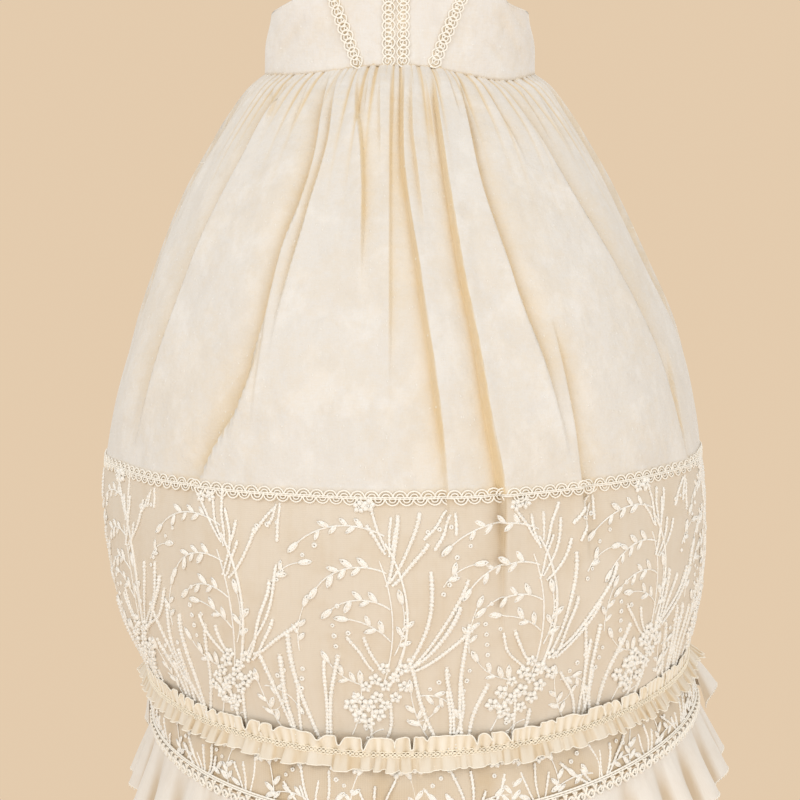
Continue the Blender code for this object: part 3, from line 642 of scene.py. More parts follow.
def blurred_round(values, reach):
    """Each value's mean with its neighbours round a ring."""
    total = sum(np.roll(values, shift, axis=1) for shift in range(-reach, reach + 1))
    return total / (2 * reach + 1)


def valley_depth(relief, reach, full_depth):
    """How deep in a fold the cloth is, from 0 to 1."""
    sunk = blurred_round(relief, reach) - relief
    return np.clip(sunk / full_depth, 0.0, 1.0)


def cloth_sheet(name, places, flat_x, flat_y, finish, ring=True, valley=None):
    """A single sheet of cloth. flat_x has one more column than a ring's points."""
    rows, columns = places.shape[:2]
    mesh = mesh_of(name, places, quad_faces(rows, columns, ring))
    flat = np.stack(np.broadcast_arrays(flat_x, flat_y), axis=-1)
    corners = (flat[:-1, :-1], flat[1:, :-1], flat[1:, 1:], flat[:-1, 1:])
    add_flat_map(mesh, np.stack(corners, axis=2))
    # Shade painted into the cloth's colour at each point, none where none is given.
    add_number(mesh, "valley", np.zeros(places.shape[:2]) if valley is None else valley)
    return show(name, mesh, finish)


def face_outwards(mesh, weld=False):
    """Turns the faces of a closed mesh outwards, once points that coincide are one."""
    form = bmesh.new()
    form.from_mesh(mesh)
    if weld:
        bmesh.ops.remove_doubles(form, verts=form.verts, dist=WELD_REACH)
    bmesh.ops.recalc_face_normals(form, faces=form.faces)
    form.to_mesh(mesh)
    form.free()


def double_cloth(name, outer, inner, flat_x, flat_y, finish, valley):
    """A closed wall of cloth with an outer and an inner face, and turned edges."""
    rows, columns = outer.shape[:2]
    count = rows * columns
    index = np.arange(count).reshape(rows, columns)
    border = np.concatenate((index[0], index[1:, -1], index[-1, -2::-1], index[-2:0:-1, 0]))
    following = np.roll(border, -1)
    edge = np.stack((border, following, following + count, border + count), axis=-1)
    front = quad_faces(rows, columns, False)
    back = quad_faces(rows, columns, False, count, inward=True)
    faces = np.concatenate((front, back, edge))
    mesh = mesh_of(name, np.concatenate((outer.reshape(-1, 3), inner.reshape(-1, 3))), faces)
    flat = np.stack(np.broadcast_arrays(flat_x, flat_y), axis=-1).reshape(-1, 2)
    add_flat_map(mesh, flat[faces.ravel() % count])
    # Painted shade on the outer face only, none on the inner.
    add_number(mesh, "valley", np.concatenate((valley.ravel(), np.zeros(count))))
    face_outwards(mesh)
    return show(name, mesh, finish)


# ---- threads and cords

POINTS_A_CORNER = 12

# A cord's points, its radius at each, and the outward direction there.
Cord = namedtuple("Cord", "path radius facing closed")


def cord_lines(name, cords):
    """One mesh of edges that holds many cords, with what the trees read at each point."""
    places = np.concatenate([cord.path for cord in cords])
    radii = np.concatenate([np.broadcast_to(cord.radius, len(cord.path)) for cord in cords])
    facing = np.concatenate([cord.facing for cord in cords])
    edges = []
    start = 0
    for cord in cords:
        count = len(cord.path)
        run = np.arange(count - 1) + start
        edges.append(np.stack((run, run + 1), axis=-1))
        if cord.closed:
            edges.append(np.array([[start + count - 1, start]]))
        start += count
    mesh = bpy.data.meshes.new(name)
    mesh.from_pydata(places.tolist(), np.concatenate(edges).tolist(), [])
    add_number(mesh, "radius_of_cord", radii)
    add_direction(mesh, "facing", facing)
    return mesh


def smooth_line(corners, step, closed=False):
    """A line with a point every step, on a smooth curve through the corners."""
    corners = np.asarray(corners, float)
    count = len(corners)
    ends = np.arange(-1, count + 2)
    around = corners[ends % count] if closed else corners[np.clip(ends, 0, count - 1)]
    if not closed:
        around[0] = 2 * corners[0] - corners[1]
        around[-2:] = 2 * corners[-1] - corners[-2]
    spans = count if closed else count - 1
    share = np.linspace(0, 1, POINTS_A_CORNER, endpoint=False)[:, None]
    pieces = []
    for k in range(spans):
        a, b, c, d = around[k : k + 4]
        run = 2 * b + (c - a) * share + (2 * a - 5 * b + 4 * c - d) * share**2
        pieces.append((run + (3 * b - a - 3 * c + d) * share**3) / 2)
    last = corners[:1] if closed else corners[-1:]
    dense = np.concatenate((*pieces, last))
    lengths = np.concatenate(([0.0], np.cumsum(np.linalg.norm(np.diff(dense, axis=0), axis=1))))
    number = max(2, round(lengths[-1] / step) + 1)
    stations = np.linspace(0, lengths[-1], number)
    line = np.stack([np.interp(stations, lengths, column) for column in dense.T], axis=-1)
    return line[:-1] if closed else line


# ---- geometry trees

# The kinds of the trees' inputs that aren't plain numbers.
INPUT_KINDS = {"Sides": "Int", "Seed": "Int", "Motif": "Object", "Material": "Material"}


def new_tree(name, **defaults):
    """An empty geometry tree with named inputs: the tree, its inputs and its last node."""
    tree = bpy.data.node_groups.new(name, "GeometryNodeTree")
    face = tree.interface
    face.new_socket("Geometry", in_out="INPUT", socket_type="NodeSocketGeometry")
    for label, value in defaults.items():
        kind = "NodeSocket" + INPUT_KINDS.get(label, "Float")
        socket = face.new_socket(label.replace("_", " "), in_out="INPUT", socket_type=kind)
        if value is not None:
            socket.default_value = value
    face.new_socket("Geometry", in_out="OUTPUT", socket_type="NodeSocketGeometry")
    given = tree.nodes.new("NodeGroupInput").outputs
    return tree, given, tree.nodes.new("NodeGroupOutput")


def join(tree, value, place):
    """Joins another node's socket to an input, or sets the input to a plain value."""
    if isinstance(value, bpy.types.NodeSocket):
        tree.links.new(value, place)
    else:
        place.default_value = value


def node(tree, kind, settings=None, **inputs):
    """A node with its settings and its inputs: _0 is the first input, _1 the second."""
    made = tree.nodes.new(kind)
    for name, value in (settings or {}).items():
        setattr(made, name, value)
    for name, value in inputs.items():
        key = int(name[1:]) if name[0] == "_" else name.replace("_", " ")
        join(tree, value, made.inputs[key])
    return made


def calc(tree, operation, *values):
    """The result of a sum on sockets and numbers."""
    made = node(tree, "ShaderNodeMath", {"operation": operation})
    for value, place in zip(values, made.inputs):
        join(tree, value, place)
    return made.outputs[0]


def times(tree, value, factor):
    return calc(tree, "MULTIPLY", value, factor)


def total(tree, first, *others):
    for value in others:
        first = calc(tree, "ADD", first, value)
    return first


def named_value(tree, name, kind):
    found = node(tree, "GeometryNodeInputNamedAttribute", {"data_type": kind}, Name=name)
    return found.outputs["Attribute"]


def spaced_line(tree, given, pitch):
    """The given edges as lines with a point at every pitch."""
    line = node(tree, "GeometryNodeMeshToCurve", Mesh=given["Geometry"]).outputs[0]
    spaced = node(tree, "GeometryNodeResampleCurve", {"mode": "LENGTH"}, Curve=line, Length=given[pitch])
    return spaced.outputs[0]


def uneven_size(tree, size, given):
    """A size that differs from point to point by the tree's own unevenness."""
    least = calc(tree, "SUBTRACT", 1.0, given["Unevenness"])
    most = calc(tree, "ADD", 1.0, given["Unevenness"])
    random = node(
        tree, "FunctionNodeRandomValue", {"data_type": "FLOAT"}, _2=least, _3=most,
        Seed=given["Seed"],
    )
    return times(tree, random.outputs[1], size)


def finish_tree(tree, made, given, output):
    """The last nodes of every tree: real meshes, smooth, with their material."""
    real = node(tree, "GeometryNodeRealizeInstances", Geometry=made.outputs[0]).outputs[0]
    smooth = node(tree, "GeometryNodeSetShadeSmooth", Geometry=real).outputs[0]
    coloured = node(tree, "GeometryNodeSetMaterial", Geometry=smooth, Material=given["Material"])
    tree.links.new(coloured.outputs[0], output.inputs[0])
    return tree


def cord_tree():
    """Round cords on lines, plain or with knobs along them."""
    tree, given, output = new_tree(
        "cords along lines", Step=1.0 * MM, Sides=6, Knob_depth=0.0, Knob_pitch=2.0 * MM,
        Unevenness=0.0, Seed=1, Material=None,
    )
    along = node(tree, "GeometryNodeSplineParameter").outputs["Length"]
    angle = times(tree, calc(tree, "DIVIDE", along, given["Knob pitch"]), tau)
    knob = calc(tree, "COSINE", angle)
    swell = calc(tree, "MULTIPLY_ADD", knob, given["Knob depth"], 1.0)
    radius = named_value(tree, "radius_of_cord", "FLOAT")
    thickness = times(tree, uneven_size(tree, swell, given), radius)
    ring = node(tree, "GeometryNodeCurvePrimitiveCircle", Resolution=given["Sides"], Radius=1.0)
    tube = node(
        tree, "GeometryNodeCurveToMesh", Curve=spaced_line(tree, given, "Step"),
        Profile_Curve=ring.outputs[0], Scale=thickness, Fill_Caps=True,
    )
    return finish_tree(tree, tube, given, output)


def set_motifs(tree, given, spots, heading, size, output):
    """Stands the motif on each spot, its Z outwards and its X along the heading."""
    motif = node(tree, "GeometryNodeObjectInfo", Object=given["Motif"]).outputs["Geometry"]
    turn = node(
        tree, "FunctionNodeAxesToRotation", {"primary_axis": "Z", "secondary_axis": "X"},
        Primary_Axis=named_value(tree, "facing", "FLOAT_VECTOR"), Secondary_Axis=heading,
    )
    placed = node(
        tree, "GeometryNodeInstanceOnPoints", Points=spots, Instance=motif,
        Rotation=turn.outputs[0], Scale=size,
    )
    return finish_tree(tree, placed, given, output)


def border_tree():
    """A motif repeated along lines at an even pitch, as lace and picots are."""
    tree, given, output = new_tree(
        "motif along lines", Motif=None, Pitch=7.0 * MM, Size=1.0, Unevenness=0.0, Seed=1,
        Material=None,
    )
    heading = node(tree, "GeometryNodeInputTangent").outputs[0]
    spots = spaced_line(tree, given, "Pitch")
    size = uneven_size(tree, given["Size"], given)
    return set_motifs(tree, given, spots, heading, size, output)


def motif_tree():
    """A motif set on points of the cloth, each with its own heading and size."""
    tree, given, output = new_tree("motif on points", Motif=None, Size=1.0, Material=None)
    heading = named_value(tree, "heading", "FLOAT_VECTOR")
    size = times(tree, named_value(tree, "size_of_motif", "FLOAT"), given["Size"])
    return set_motifs(tree, given, given["Geometry"], heading, size, output)


CORD_TREE = cord_tree()
BORDER_TREE = border_tree()
MOTIF_TREE = motif_tree()


def grow(name, mesh, tree, material=None, **settings):
    """Runs a tree on a mesh and keeps the result as a plain mesh object."""
    holder = bpy.data.objects.new(name + "_lines", mesh)
    bpy.context.scene.collection.objects.link(holder)
    modifier = holder.modifiers.new("grow", "NODES")
    modifier.node_group = tree
    if material is not None:
        settings["material"] = material
    for item in tree.interface.items_tree:
        label = item.name.replace(" ", "_").lower()
        if item.in_out == "INPUT" and label in settings:
            modifier[item.identifier] = settings[label]
    ready = holder.evaluated_get(bpy.context.evaluated_depsgraph_get())
    grown = bpy.data.meshes.new_from_object(ready)
    bpy.data.objects.remove(holder)
    grown.name = name
    grown.materials.clear()
    grown.polygons.foreach_set("material_index", np.zeros(len(grown.polygons), int))
    return show(name, grown, material)


def grow_cords(name, cords, finish=None, **settings):
    return grow(name, cord_lines(name, cords), CORD_TREE, finish, **settings)


def repeat_along(name, cords, motif, finish, pitch, size=1.0, unevenness=0.05, seed=3):
    """A motif of the gown's lace or stitches, repeated along lines."""
    return grow(
        name, cord_lines(name, cords), BORDER_TREE, finish, motif=MOTIFS[motif], pitch=pitch,
        size=size, unevenness=unevenness, seed=seed,
    )


def join_into(first, other):
    """Adds the other's mesh to the first piece."""
    joined = bmesh.new()
    for piece in (first, other):
        joined.from_mesh(piece.data)
    joined.to_mesh(first.data)
    joined.free()
    bpy.data.objects.remove(other)
    return first


# ---- finishes


def colour(red, green, blue):
    return (red, green, blue, 1.0)


def new_finish(name, roughness, sheen, sheen_roughness, specular):
    """A finish with its constants set on the shader's own sockets."""
    material = bpy.data.materials.new(name)
    material.use_nodes = True
    tree = material.node_tree
    shader = tree.nodes["Principled BSDF"]
    shader.inputs["Roughness"].default_value = roughness
    shader.inputs["Specular IOR Level"].default_value = specular
    shader.inputs["Sheen Weight"].default_value = sheen
    shader.inputs["Sheen Roughness"].default_value = sheen_roughness
    return material, tree, shader, node(tree, "ShaderNodeTexCoord").outputs["Object"]


def cloth_inputs(tree):
    """The place on the flat cloth, and how much shade is painted on it, from 0 to 1."""
    flat = node(tree, "ShaderNodeUVMap", {"uv_map": "cloth"}).outputs[0]
    return flat, node(tree, "ShaderNodeAttribute", {"attribute_name": "valley"}).outputs["Fac"]


def noise_of(tree, place, scale, detail=2.0, roughness=0.5):
    found = node(
        tree, "ShaderNodeTexNoise", Vector=place, Scale=scale, Detail=detail,
        Roughness=roughness,
    )
    return found.outputs[0]


def stretched_noise(tree, place, scales, detail, roughness=0.5):
    """Noise with its own scale along each axis."""
    turned = node(tree, "ShaderNodeMapping", Vector=place, Scale=scales).outputs[0]
    return noise_of(tree, turned, 1.0, detail, roughness)


def between(tree, low, high, value):
    """Eases a value to 0 at low and to 1 at high."""
    eased = node(
        tree, "ShaderNodeMapRange", {"interpolation_type": "SMOOTHSTEP"}, Value=value,
        From_Min=low, From_Max=high,
    )
    return eased.outputs[0]


def patches(tree, pattern, low, high, most):
    """Soft patches: none where the pattern is below low, and most of them above high."""
    return times(tree, between(tree, low, high, pattern), most)


def mixed(tree, share, first, second):
    """A colour between two others."""
    blend = node(tree, "ShaderNodeMix", {"data_type": "RGBA"}, _0=share, _6=first, _7=second)
    return blend.outputs[2]


def thread_weave(tree, flat, threads_per_metre):
    """The relief of a plain weave: threads across and threads along, over and under."""
    sets = []
    for direction in "XY":
        settings = {"bands_direction": direction, "wave_profile": "SIN"}
        wave = node(
            tree, "ShaderNodeTexWave", settings, Vector=flat,
            Scale=threads_per_metre / 20 * pi, Distortion=0.0,
        )
        sets.append(wave.outputs[1])
    return total(tree, *sets)


def cover(tree, shader, body, parts, distance, strength):
    """Joins a finish's colour to the shader, and its fine relief: patterns and their shares."""
    tree.links.new(body, shader.inputs["Base Color"])
    relief = total(tree, *(times(tree, pattern, share) for pattern, share in parts))
    bump = node(tree, "ShaderNodeBump", Height=relief, Distance=distance, Strength=strength)
    tree.links.new(bump.outputs[0], shader.inputs["Normal"])


# Colours of paler and greyer patches that stand in for the crumple's painted highlight and painted
# shade, a nep's white and a net thread's colour.
PAINTED_CRUMPLE_HIGHLIGHT = colour(0.87, 0.855, 0.84)
PAINTED_CRUMPLE_SHADE = colour(0.67, 0.635, 0.595)
NEP_WHITE = colour(0.97, 0.95, 0.90)
NET_THREAD = colour(0.88, 0.80, 0.68)


def cotton_finish(name, lit, shaded):
    """Ivory cotton: slubs both ways, a few neps, a soft crumple, painted gold shade in its folds, and
    paler and greyer patches of painted highlight and shade.
    """
    material, tree, shader, place = new_finish(name, 0.78, 0.25, 0.45, 0.22)
    flat, valley = cloth_inputs(tree)
    upright = stretched_noise(tree, flat, (2600, 150, 1), 3.0)
    level = stretched_noise(tree, flat, (130, 2200, 1), 3.0)
    slub = total(tree, upright, level)
    crumple = noise_of(tree, place, 62.0, 4.0, 0.55)
    cloudy = noise_of(tree, place, 20.0, 2.0, 0.5)
    mottle = noise_of(tree, place, 150.0, 4.0, 0.62)
    nep_map = node(tree, "ShaderNodeTexVoronoi", {"feature": "F1"}, Vector=flat, Scale=190.0)
    nep = between(tree, 0.17, 0.07, nep_map.outputs["Distance"])
    nep = times(tree, nep, between(tree, 0.44, 0.50, nep_map.outputs["Color"]))
    clouds = total(tree, times(tree, cloudy, 0.5), times(tree, mottle, 0.5))
    # Painted shade from the attribute, with cloudy patches of the same gold at random.
    depth = total(tree, times(tree, valley, 0.78), patches(tree, clouds, 0.44, 0.60, 0.12))
    # Paler and greyer patches at random: painted highlight and painted shade that stand in for the
    # crumple's light, not tied to its relief.
    crumple_highlight_patches = stretched_noise(tree, place, (46, 46, 30), 4.0, 0.62)
    body = mixed(tree, patches(tree, crumple_highlight_patches, 0.48, 0.62, 0.42), lit, PAINTED_CRUMPLE_HIGHLIGHT)
    crumple_shade_patches = stretched_noise(tree, place, (70, 70, 40), 4.0, 0.6)
    body = mixed(tree, patches(tree, crumple_shade_patches, 0.50, 0.64, 0.20), body, PAINTED_CRUMPLE_SHADE)
    # The painted shade, towards the shaded colour.
    body = mixed(tree, depth, body, shaded)
    body = mixed(tree, patches(tree, slub, 0.75, 1.30, 0.14), body, shaded)
    body = mixed(tree, times(tree, nep, 0.45), body, NEP_WHITE)
    weave = thread_weave(tree, flat, 2400)
    parts = ((slub, 0.10), (crumple, 6.0), (mottle, 1.3), (nep, 0.55), (weave, 0.03))
    cover(tree, shader, body, parts, 0.6 * MM, 0.55)
    return material


def net_finish(name, ground, deep):
    """Fine tan net over a lining, with faint upright streaks, and shade painted in its folds and near
    its trims.
    """
    material, tree, shader, place = new_finish(name, 0.85, 0.15, 0.5, 0.15)
    flat, valley = cloth_inputs(tree)
    cells = node(
        tree, "ShaderNodeTexVoronoi", {"feature": "DISTANCE_TO_EDGE"}, Vector=flat,
        Scale=900.0, Randomness=0.25,
    )
    thread = between(tree, 0.22, 0.06, cells.outputs["Distance"])
    streak = stretched_noise(tree, flat, (190, 14, 1), 3.0)
    cloudy = noise_of(tree, place, 34.0, 4.0, 0.6)
    # Painted shade from the attribute, and streaks and clouds at random, towards the deep colour painted
    # into its shade.
    depth = total(
        tree, times(tree, valley, 0.8), patches(tree, streak, 0.40, 0.72, 0.10),
        patches(tree, cloudy, 0.42, 0.66, 0.24),
    )
    body = mixed(tree, depth, ground, deep)
    body = mixed(tree, times(tree, thread, 0.18), body, NET_THREAD)
    parts = ((thread, 0.10), (cloudy, 0.8), (streak, 0.25))
    cover(tree, shader, body, parts, 0.5 * MM, 0.5)
    return material


def plain_cloth_finish(name, lit, shaded, threads, smoothness=0.0):
    """Ruffle cotton and organza: a fine even weave, a soft change of tone at random, and shade painted
    in their folds.
    """
    material, tree, shader, place = new_finish(name, 0.72 - smoothness, 0.2 + smoothness, 0.4, 0.25)
    flat, valley = cloth_inputs(tree)
    grain = stretched_noise(tree, flat, (threads, threads / 12, 1), 2.0)
    cloudy = noise_of(tree, place, 60.0, 3.0)
    # Painted shade from the attribute, and cloudy and grain patches at random, towards the shaded
    # colour.
    depth = total(
        tree, times(tree, valley, 0.9), patches(tree, cloudy, 0.35, 0.75, 0.15),
        patches(tree, grain, 0.4, 0.7, 0.10),
    )
    parts = ((grain, 0.12), (cloudy, 0.6), (thread_weave(tree, flat, threads), 0.03))
    cover(tree, shader, mixed(tree, depth, lit, shaded), parts, 0.4 * MM, 0.4)
    return material


def thread_finish(name, lit, shaded, tuft_scale=700.0, tuft_shade=0.30, tuft_relief=0.35):
    """Cotton thread, wrapped and tufted, so that it catches small lights, with shade painted in the dips
    between its tufts.
    """
    material, tree, shader, place = new_finish(name, 0.68, 0.2, 0.5, 0.2)
    wraps = noise_of(tree, place, 2200.0, 2.0, 0.6)
    tufts = noise_of(tree, place, tuft_scale, 2.0, 0.6)
    # Painted shade in the dips between the tufts.
    body = mixed(tree, patches(tree, tufts, 0.50, 0.72, tuft_shade), lit, shaded)
    cover(tree, shader, body, ((wraps, 0.3), (tufts, -1.0)), 0.5 * MM, tuft_relief)
    return material


def pearl_finish():
    """Pale shell: a gloss over a slightly cloudy body."""
    material, tree, shader, place = new_finish("pearl_button", 0.25, 0.0, 0.5, 0.5)
    shader.inputs["Coat Weight"].default_value = 0.6
    shader.inputs["Coat Roughness"].default_value = 0.12
    cloudy = noise_of(tree, place, 420.0, 4.0, 0.6)
    body = mixed(tree, cloudy, colour(0.88, 0.84, 0.77), colour(0.78, 0.72, 0.66))
    tree.links.new(body, shader.inputs["Base Color"])
    return material


# ---- motifs of cord

# A stroke of a motif, drawn flat in millimetres: its corners, its radius, how high it
# lies, and whether it closes. One that isn't smooth keeps its corners as its points.
Stroke = namedtuple("Stroke", "corners radius rise closed smooth", defaults=(0.0, False, True))

# The cords' sides, knobs and step, how far apart their points are, and the strokes.
Motif = namedtuple("Motif", "sides knob_depth step spacing strokes")
PETALS = 5
PETAL_TURN = 0.3
PETAL_REACH = (0.8, 1.6, 2.5, 3.1)
MOTIF_SHAPES = {
    # One repeat of the skirt's braid: an arch over a small arch, above and below.
    "arch": Motif(5, 0.12, 0.8, 0.8, (
        Stroke(((-3.8, 0.5), (-2.7, 2.6), (-0.3, 3.6), (2.2, 2.9), (4.0, 0.6)), 0.45, 0.1),
        Stroke(((-2.1, 0.4), (-1.2, 1.8), (0.6, 2.1), (2.0, 1.1), (1.5, 0.2)), 0.40),
        Stroke(((-0.4, -0.5), (0.8, -2.6), (3.3, -3.7), (5.8, -2.7), (7.0, -0.5)), 0.45, 0.1),
        Stroke(((1.6, -0.4), (2.2, -1.9), (3.9, -2.2), (5.2, -1.2), (4.6, -0.3)), 0.40),
    )),
    # One repeat of the bodice braid: a big and a small arch that cross the next, and curls.
    "ring": Motif(5, 0.12, 0.7, 0.7, (
        Stroke(((-4.6, -1.4), (-3.6, 1.6), (-0.2, 4.1), (3.0, 2.2), (3.9, -1.2)), 0.50, 0.3),
        Stroke(((-4.2, 1.2), (-2.6, -1.5), (0.2, -3.3), (2.6, -1.9), (3.9, 1.2)), 0.48, 0.1),
        Stroke(((0.9, 0.0), (-1.6, 0.9), (-0.4, 2.5), (1.5, 1.5)), 0.42, 0.1, True),
        Stroke(((-2.2, -0.4), (-0.8, -1.6), (0.6, -0.7), (2.2, -0.9)), 0.40),
    )),
    # One repeat of the lower braid: a zigzag cord, and a ring that hangs in it.
    "drop": Motif(4, 0.12, 0.85, 0.85, (
        Stroke(((-3.2, 1.3), (-1.8, -1.6), (0.0, -3.6), (1.8, -1.6), (3.2, 1.3)), 0.58, 0.5),
        Stroke(((0.0, -0.1), (-1.55, -1.6), (0.0, -3.2), (1.55, -1.6)), 0.52, 0.9, True),
        Stroke(((0.3, -0.2), (0.5, -1.2), (0.1, -2.0)), 0.55, 0.7),
    )),
    # A tiny loop that hangs from a hem.
    "picot": Motif(4, 0.0, 0.85, 0.7, (
        Stroke(((-0.7, 0.2), (-0.8, -1.1), (0.0, -1.8), (0.8, -1.1), (0.7, 0.2)), 0.26),
    )),
    # One running stitch, which dips into the cloth at both ends.
    "stitch": Motif(4, 0.0, 0.62, 0.6, (
        Stroke(((-0.9, 0.0), (-0.3, 0.0), (0.3, 0.0), (0.9, 0.0)), 0.17,
               (-0.02, 0.087, 0.087, -0.02), False, False),
    )),
    # One link of chain stitch.
    "link": Motif(4, 0.0, 1.25, 1.0, (
        Stroke(((-1.45, 0.0), (0.0, 0.8), (1.45, 0.0), (0.0, -0.8)), 0.40, 0.0, True),
    )),
    # A flower of padded petals round a knot.
    "flower": Motif(4, 0.0, 0.8, 0.0, (
        *(Stroke([(cos(turn) * reach, sin(turn) * reach) for reach in PETAL_REACH],
                 (0.8, 1.35, 1.30, 0.7), (0.2, 0.55, 0.5, 0.2), False, False)
          for turn in (tau * petal / PETALS + PETAL_TURN for petal in range(PETALS))),
        Stroke(((-0.6, 0.0), (0.0, 0.0), (0.6, 0.0)), (0.4, 0.75, 0.4), 1.5, False, False),
    )),
    # A leaf of looped cord with a padded middle, along +x.
    "leaf": Motif(4, 0.0, 1.5, 1.5, (
        Stroke(((0.0, 0.0), (2.0, 0.75), (4.6, 0.95), (7.0, 0.0), (4.6, -0.95), (2.0, -0.75)),
               0.62, 0.3, True),
        Stroke(((0.6, 0.0), (3.0, 0.0), (5.3, 0.0)), (0.5, 0.85, 0.7), 0.5, False, False),
    )),
    # A small eyelet ring of wrapped thread.
    "bead": Motif(4, 0.0, 0.85, 0.85, (
        Stroke(((0.95, 0.0), (0.0, 0.95), (-0.95, 0.0), (0.0, -0.95)), 0.62, 0.3, True),
    )),
}


def make_motif(name, motif):
    """A small motif of cords, to be repeated by the trees."""
    cords = []
    for stroke in motif.strokes:
        line = np.array(stroke.corners)
        if stroke.smooth:
            line = smooth_line(line, motif.spacing, stroke.closed)
        rises = np.broadcast_to(stroke.rise, len(line))
        path = np.column_stack((line, rises)) * MM
        facing = np.tile((0.0, 0.0, 1.0), (len(line), 1))
        cords.append(Cord(path, np.asarray(stroke.radius) * MM, facing, stroke.closed))
    return grow_cords(
        name, cords, step=motif.step * MM, sides=motif.sides, knob_depth=motif.knob_depth,
        knob_pitch=2 * motif.step * MM,
    )


MOTIFS = {name: make_motif(name + "_repeat", motif) for name, motif in MOTIF_SHAPES.items()}


# ---- skirt, tiers, flounces

FLAT_RADIUS = 0.17
SKIRT_COLUMNS = 960
SKIRT_ROWS = 60
SKIRT_ROW_POWER = 1.35
TIER_COLUMNS = 600
TIER_ROWS = 28
# Painted shade in the skirt's gathers, under its braid and above the ruffle, and how much less of it
# lies at the gown's sides.
GATHER_SHADE = 1.25
SEAM_SHADE = 0.75
SEAM_SHADE_REACH = 3.6 * MM
RUFFLE_SHADE_REACH = 9.0 * MM
RUFFLE_SHADE = 0.3
SIDE_SHADE_CUT = 0.55
SIDE_SHADE_CUT_FROM = 0.86
FRONT_DENSITY = 0.4
TUCK_IN = 2.6 * MM
TUCK_UP = 2.0 * MM
LOWER_TIER_COLUMNS = 480
LOWER_TIER_ROWS = 16
LOWER_TIER_LENGTH = 0.04
LOWER_TIER_SHADE = 0.45
HEM_FLAT_LENGTH = 0.046
BACK_FLAT_LENGTH = 0.048
HEM_COLUMNS_A_WAVE = 18
BACK_COLUMNS_A_WAVE = 20
FLOUNCE_ROWS = 20
VALLEY_FULL_DEPTH = 1.3 * MM
FLOUNCE_GATHERS = 118
FLOUNCE_GATHER_DEPTH = 0.7 * MM
FLOUNCE_GATHER_REACH = 0.45
HEM_VALLEY_DEPTH = 2.6 * MM
HEM_FLOUNCE_LIFT = 0.10 * MM
BACK_VALLEY_DEPTH = 3 * MM
BACK_VALLEY_REACH = 10
LOWER_TIER_FOLD = 0.54 * MM
LOWER_TIER_SHARES = (0.02, 0.995)
BRAID_SHADE_FROM = 0.003
BRAID_SHADE_LENGTH = 0.035
FINE_FOLD_GAPS = (0.5, 1.6)
FINE_FOLD_SHARPNESS = 0.75
VALLEY_NARROWING = 0.22
MOST_NARROWED = 1.6
BACK_END_TUCK = 5.0 * MM
BACK_END_REACH = radians(4.5)


def round_flat_x(columns, fullness=1.0):
    """The place across the flat cloth of each column round the gown, and of the first again."""
    return np.linspace(0.0, tau, columns + 1)[None, :] * FLAT_RADIUS * fullness


def painted_trim_shade(away, reach=SEAM_SHADE_REACH):
    """Painted shade on the cloth near a trim that lies over it."""
    return SEAM_SHADE * np.exp(-((away / reach) ** 4))


def skirt_sheet(name, finish, columns, rows, upper, lower, power=1.0, tucked=False):
    """A ring of the skirt's surface, between two levels, its top tucked under a seam, with its painted
    shade.
    """
    turn = tau * ring_turns(columns)[None, :]
    theta = turn - FRONT_DENSITY * np.sin(turn)
    share = (np.linspace(0.0, 1.0, rows) ** power)[:, None]
    height = between_levels(theta, upper, lower, share)
    # Painted shade in the folds and the gathers, under the braid and above the ruffle, and less of it at
    # the gown's sides.
    gathers = valley_depth(gathers_at(theta, height), columns // 120, VALLEY_FULL_DEPTH)
    valley = folds_at(theta, height)[1] + GATHER_SHADE * gathers
    valley = valley + painted_trim_shade(height - round_the_gown(theta, BRAID_SEAM))
    over_ruffle = height - round_the_gown(theta, RUFFLE_SEAM)
    valley = valley + RUFFLE_SHADE * painted_trim_shade(over_ruffle, RUFFLE_SHADE_REACH)
    at_side = smoothstep(SIDE_SHADE_CUT_FROM, 1.0, np.abs(np.sin(theta)))
    valley = np.clip(valley, 0.0, 1.0) * (1 - SIDE_SHADE_CUT * at_side)
    flat_x = round_flat_x(columns)
    flat_y = np.column_stack((height, height[:, :1]))
    places = skirt_point(theta, height)
    if tucked:
        # The tucked row under the waist seam is painted fully shaded.
        under = places[:1] - level_outward(places[:1]) * TUCK_IN + (0.0, 0.0, TUCK_UP)
        places = np.concatenate((under, places))
        flat_y = np.concatenate((flat_y[:1] + TUCK_UP, flat_y))
        valley = np.concatenate((np.ones_like(valley[:1]), valley))
    return cloth_sheet(name, places, flat_x, flat_y, finish, valley=valley)


def make_skirt(finish):
    top = Level(*[WAIST_TABLE_HEIGHT - WAIST_GAP] * 4)
    piece = skirt_sheet(
        "skirt_cloth", finish, SKIRT_COLUMNS, SKIRT_ROWS, top, BRAID_SEAM, SKIRT_ROW_POWER, True
    )
    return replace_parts(piece, "skirt")


def make_embroidered_tier(finish):
    piece = skirt_sheet("embroidered_tier_net", finish, TIER_COLUMNS, TIER_ROWS, BRAID_SEAM, RUFFLE_SEAM)
    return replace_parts(piece, "embroidered_tier")


def lower_tier_relief(turn, share):
    slow = np.sin(tau * 23 * turn + 0.8) + 0.6 * np.sin(tau * 41 * turn + 2.1)
    return LOWER_TIER_FOLD * slow * np.sin(pi * np.clip(share, 0, 1))


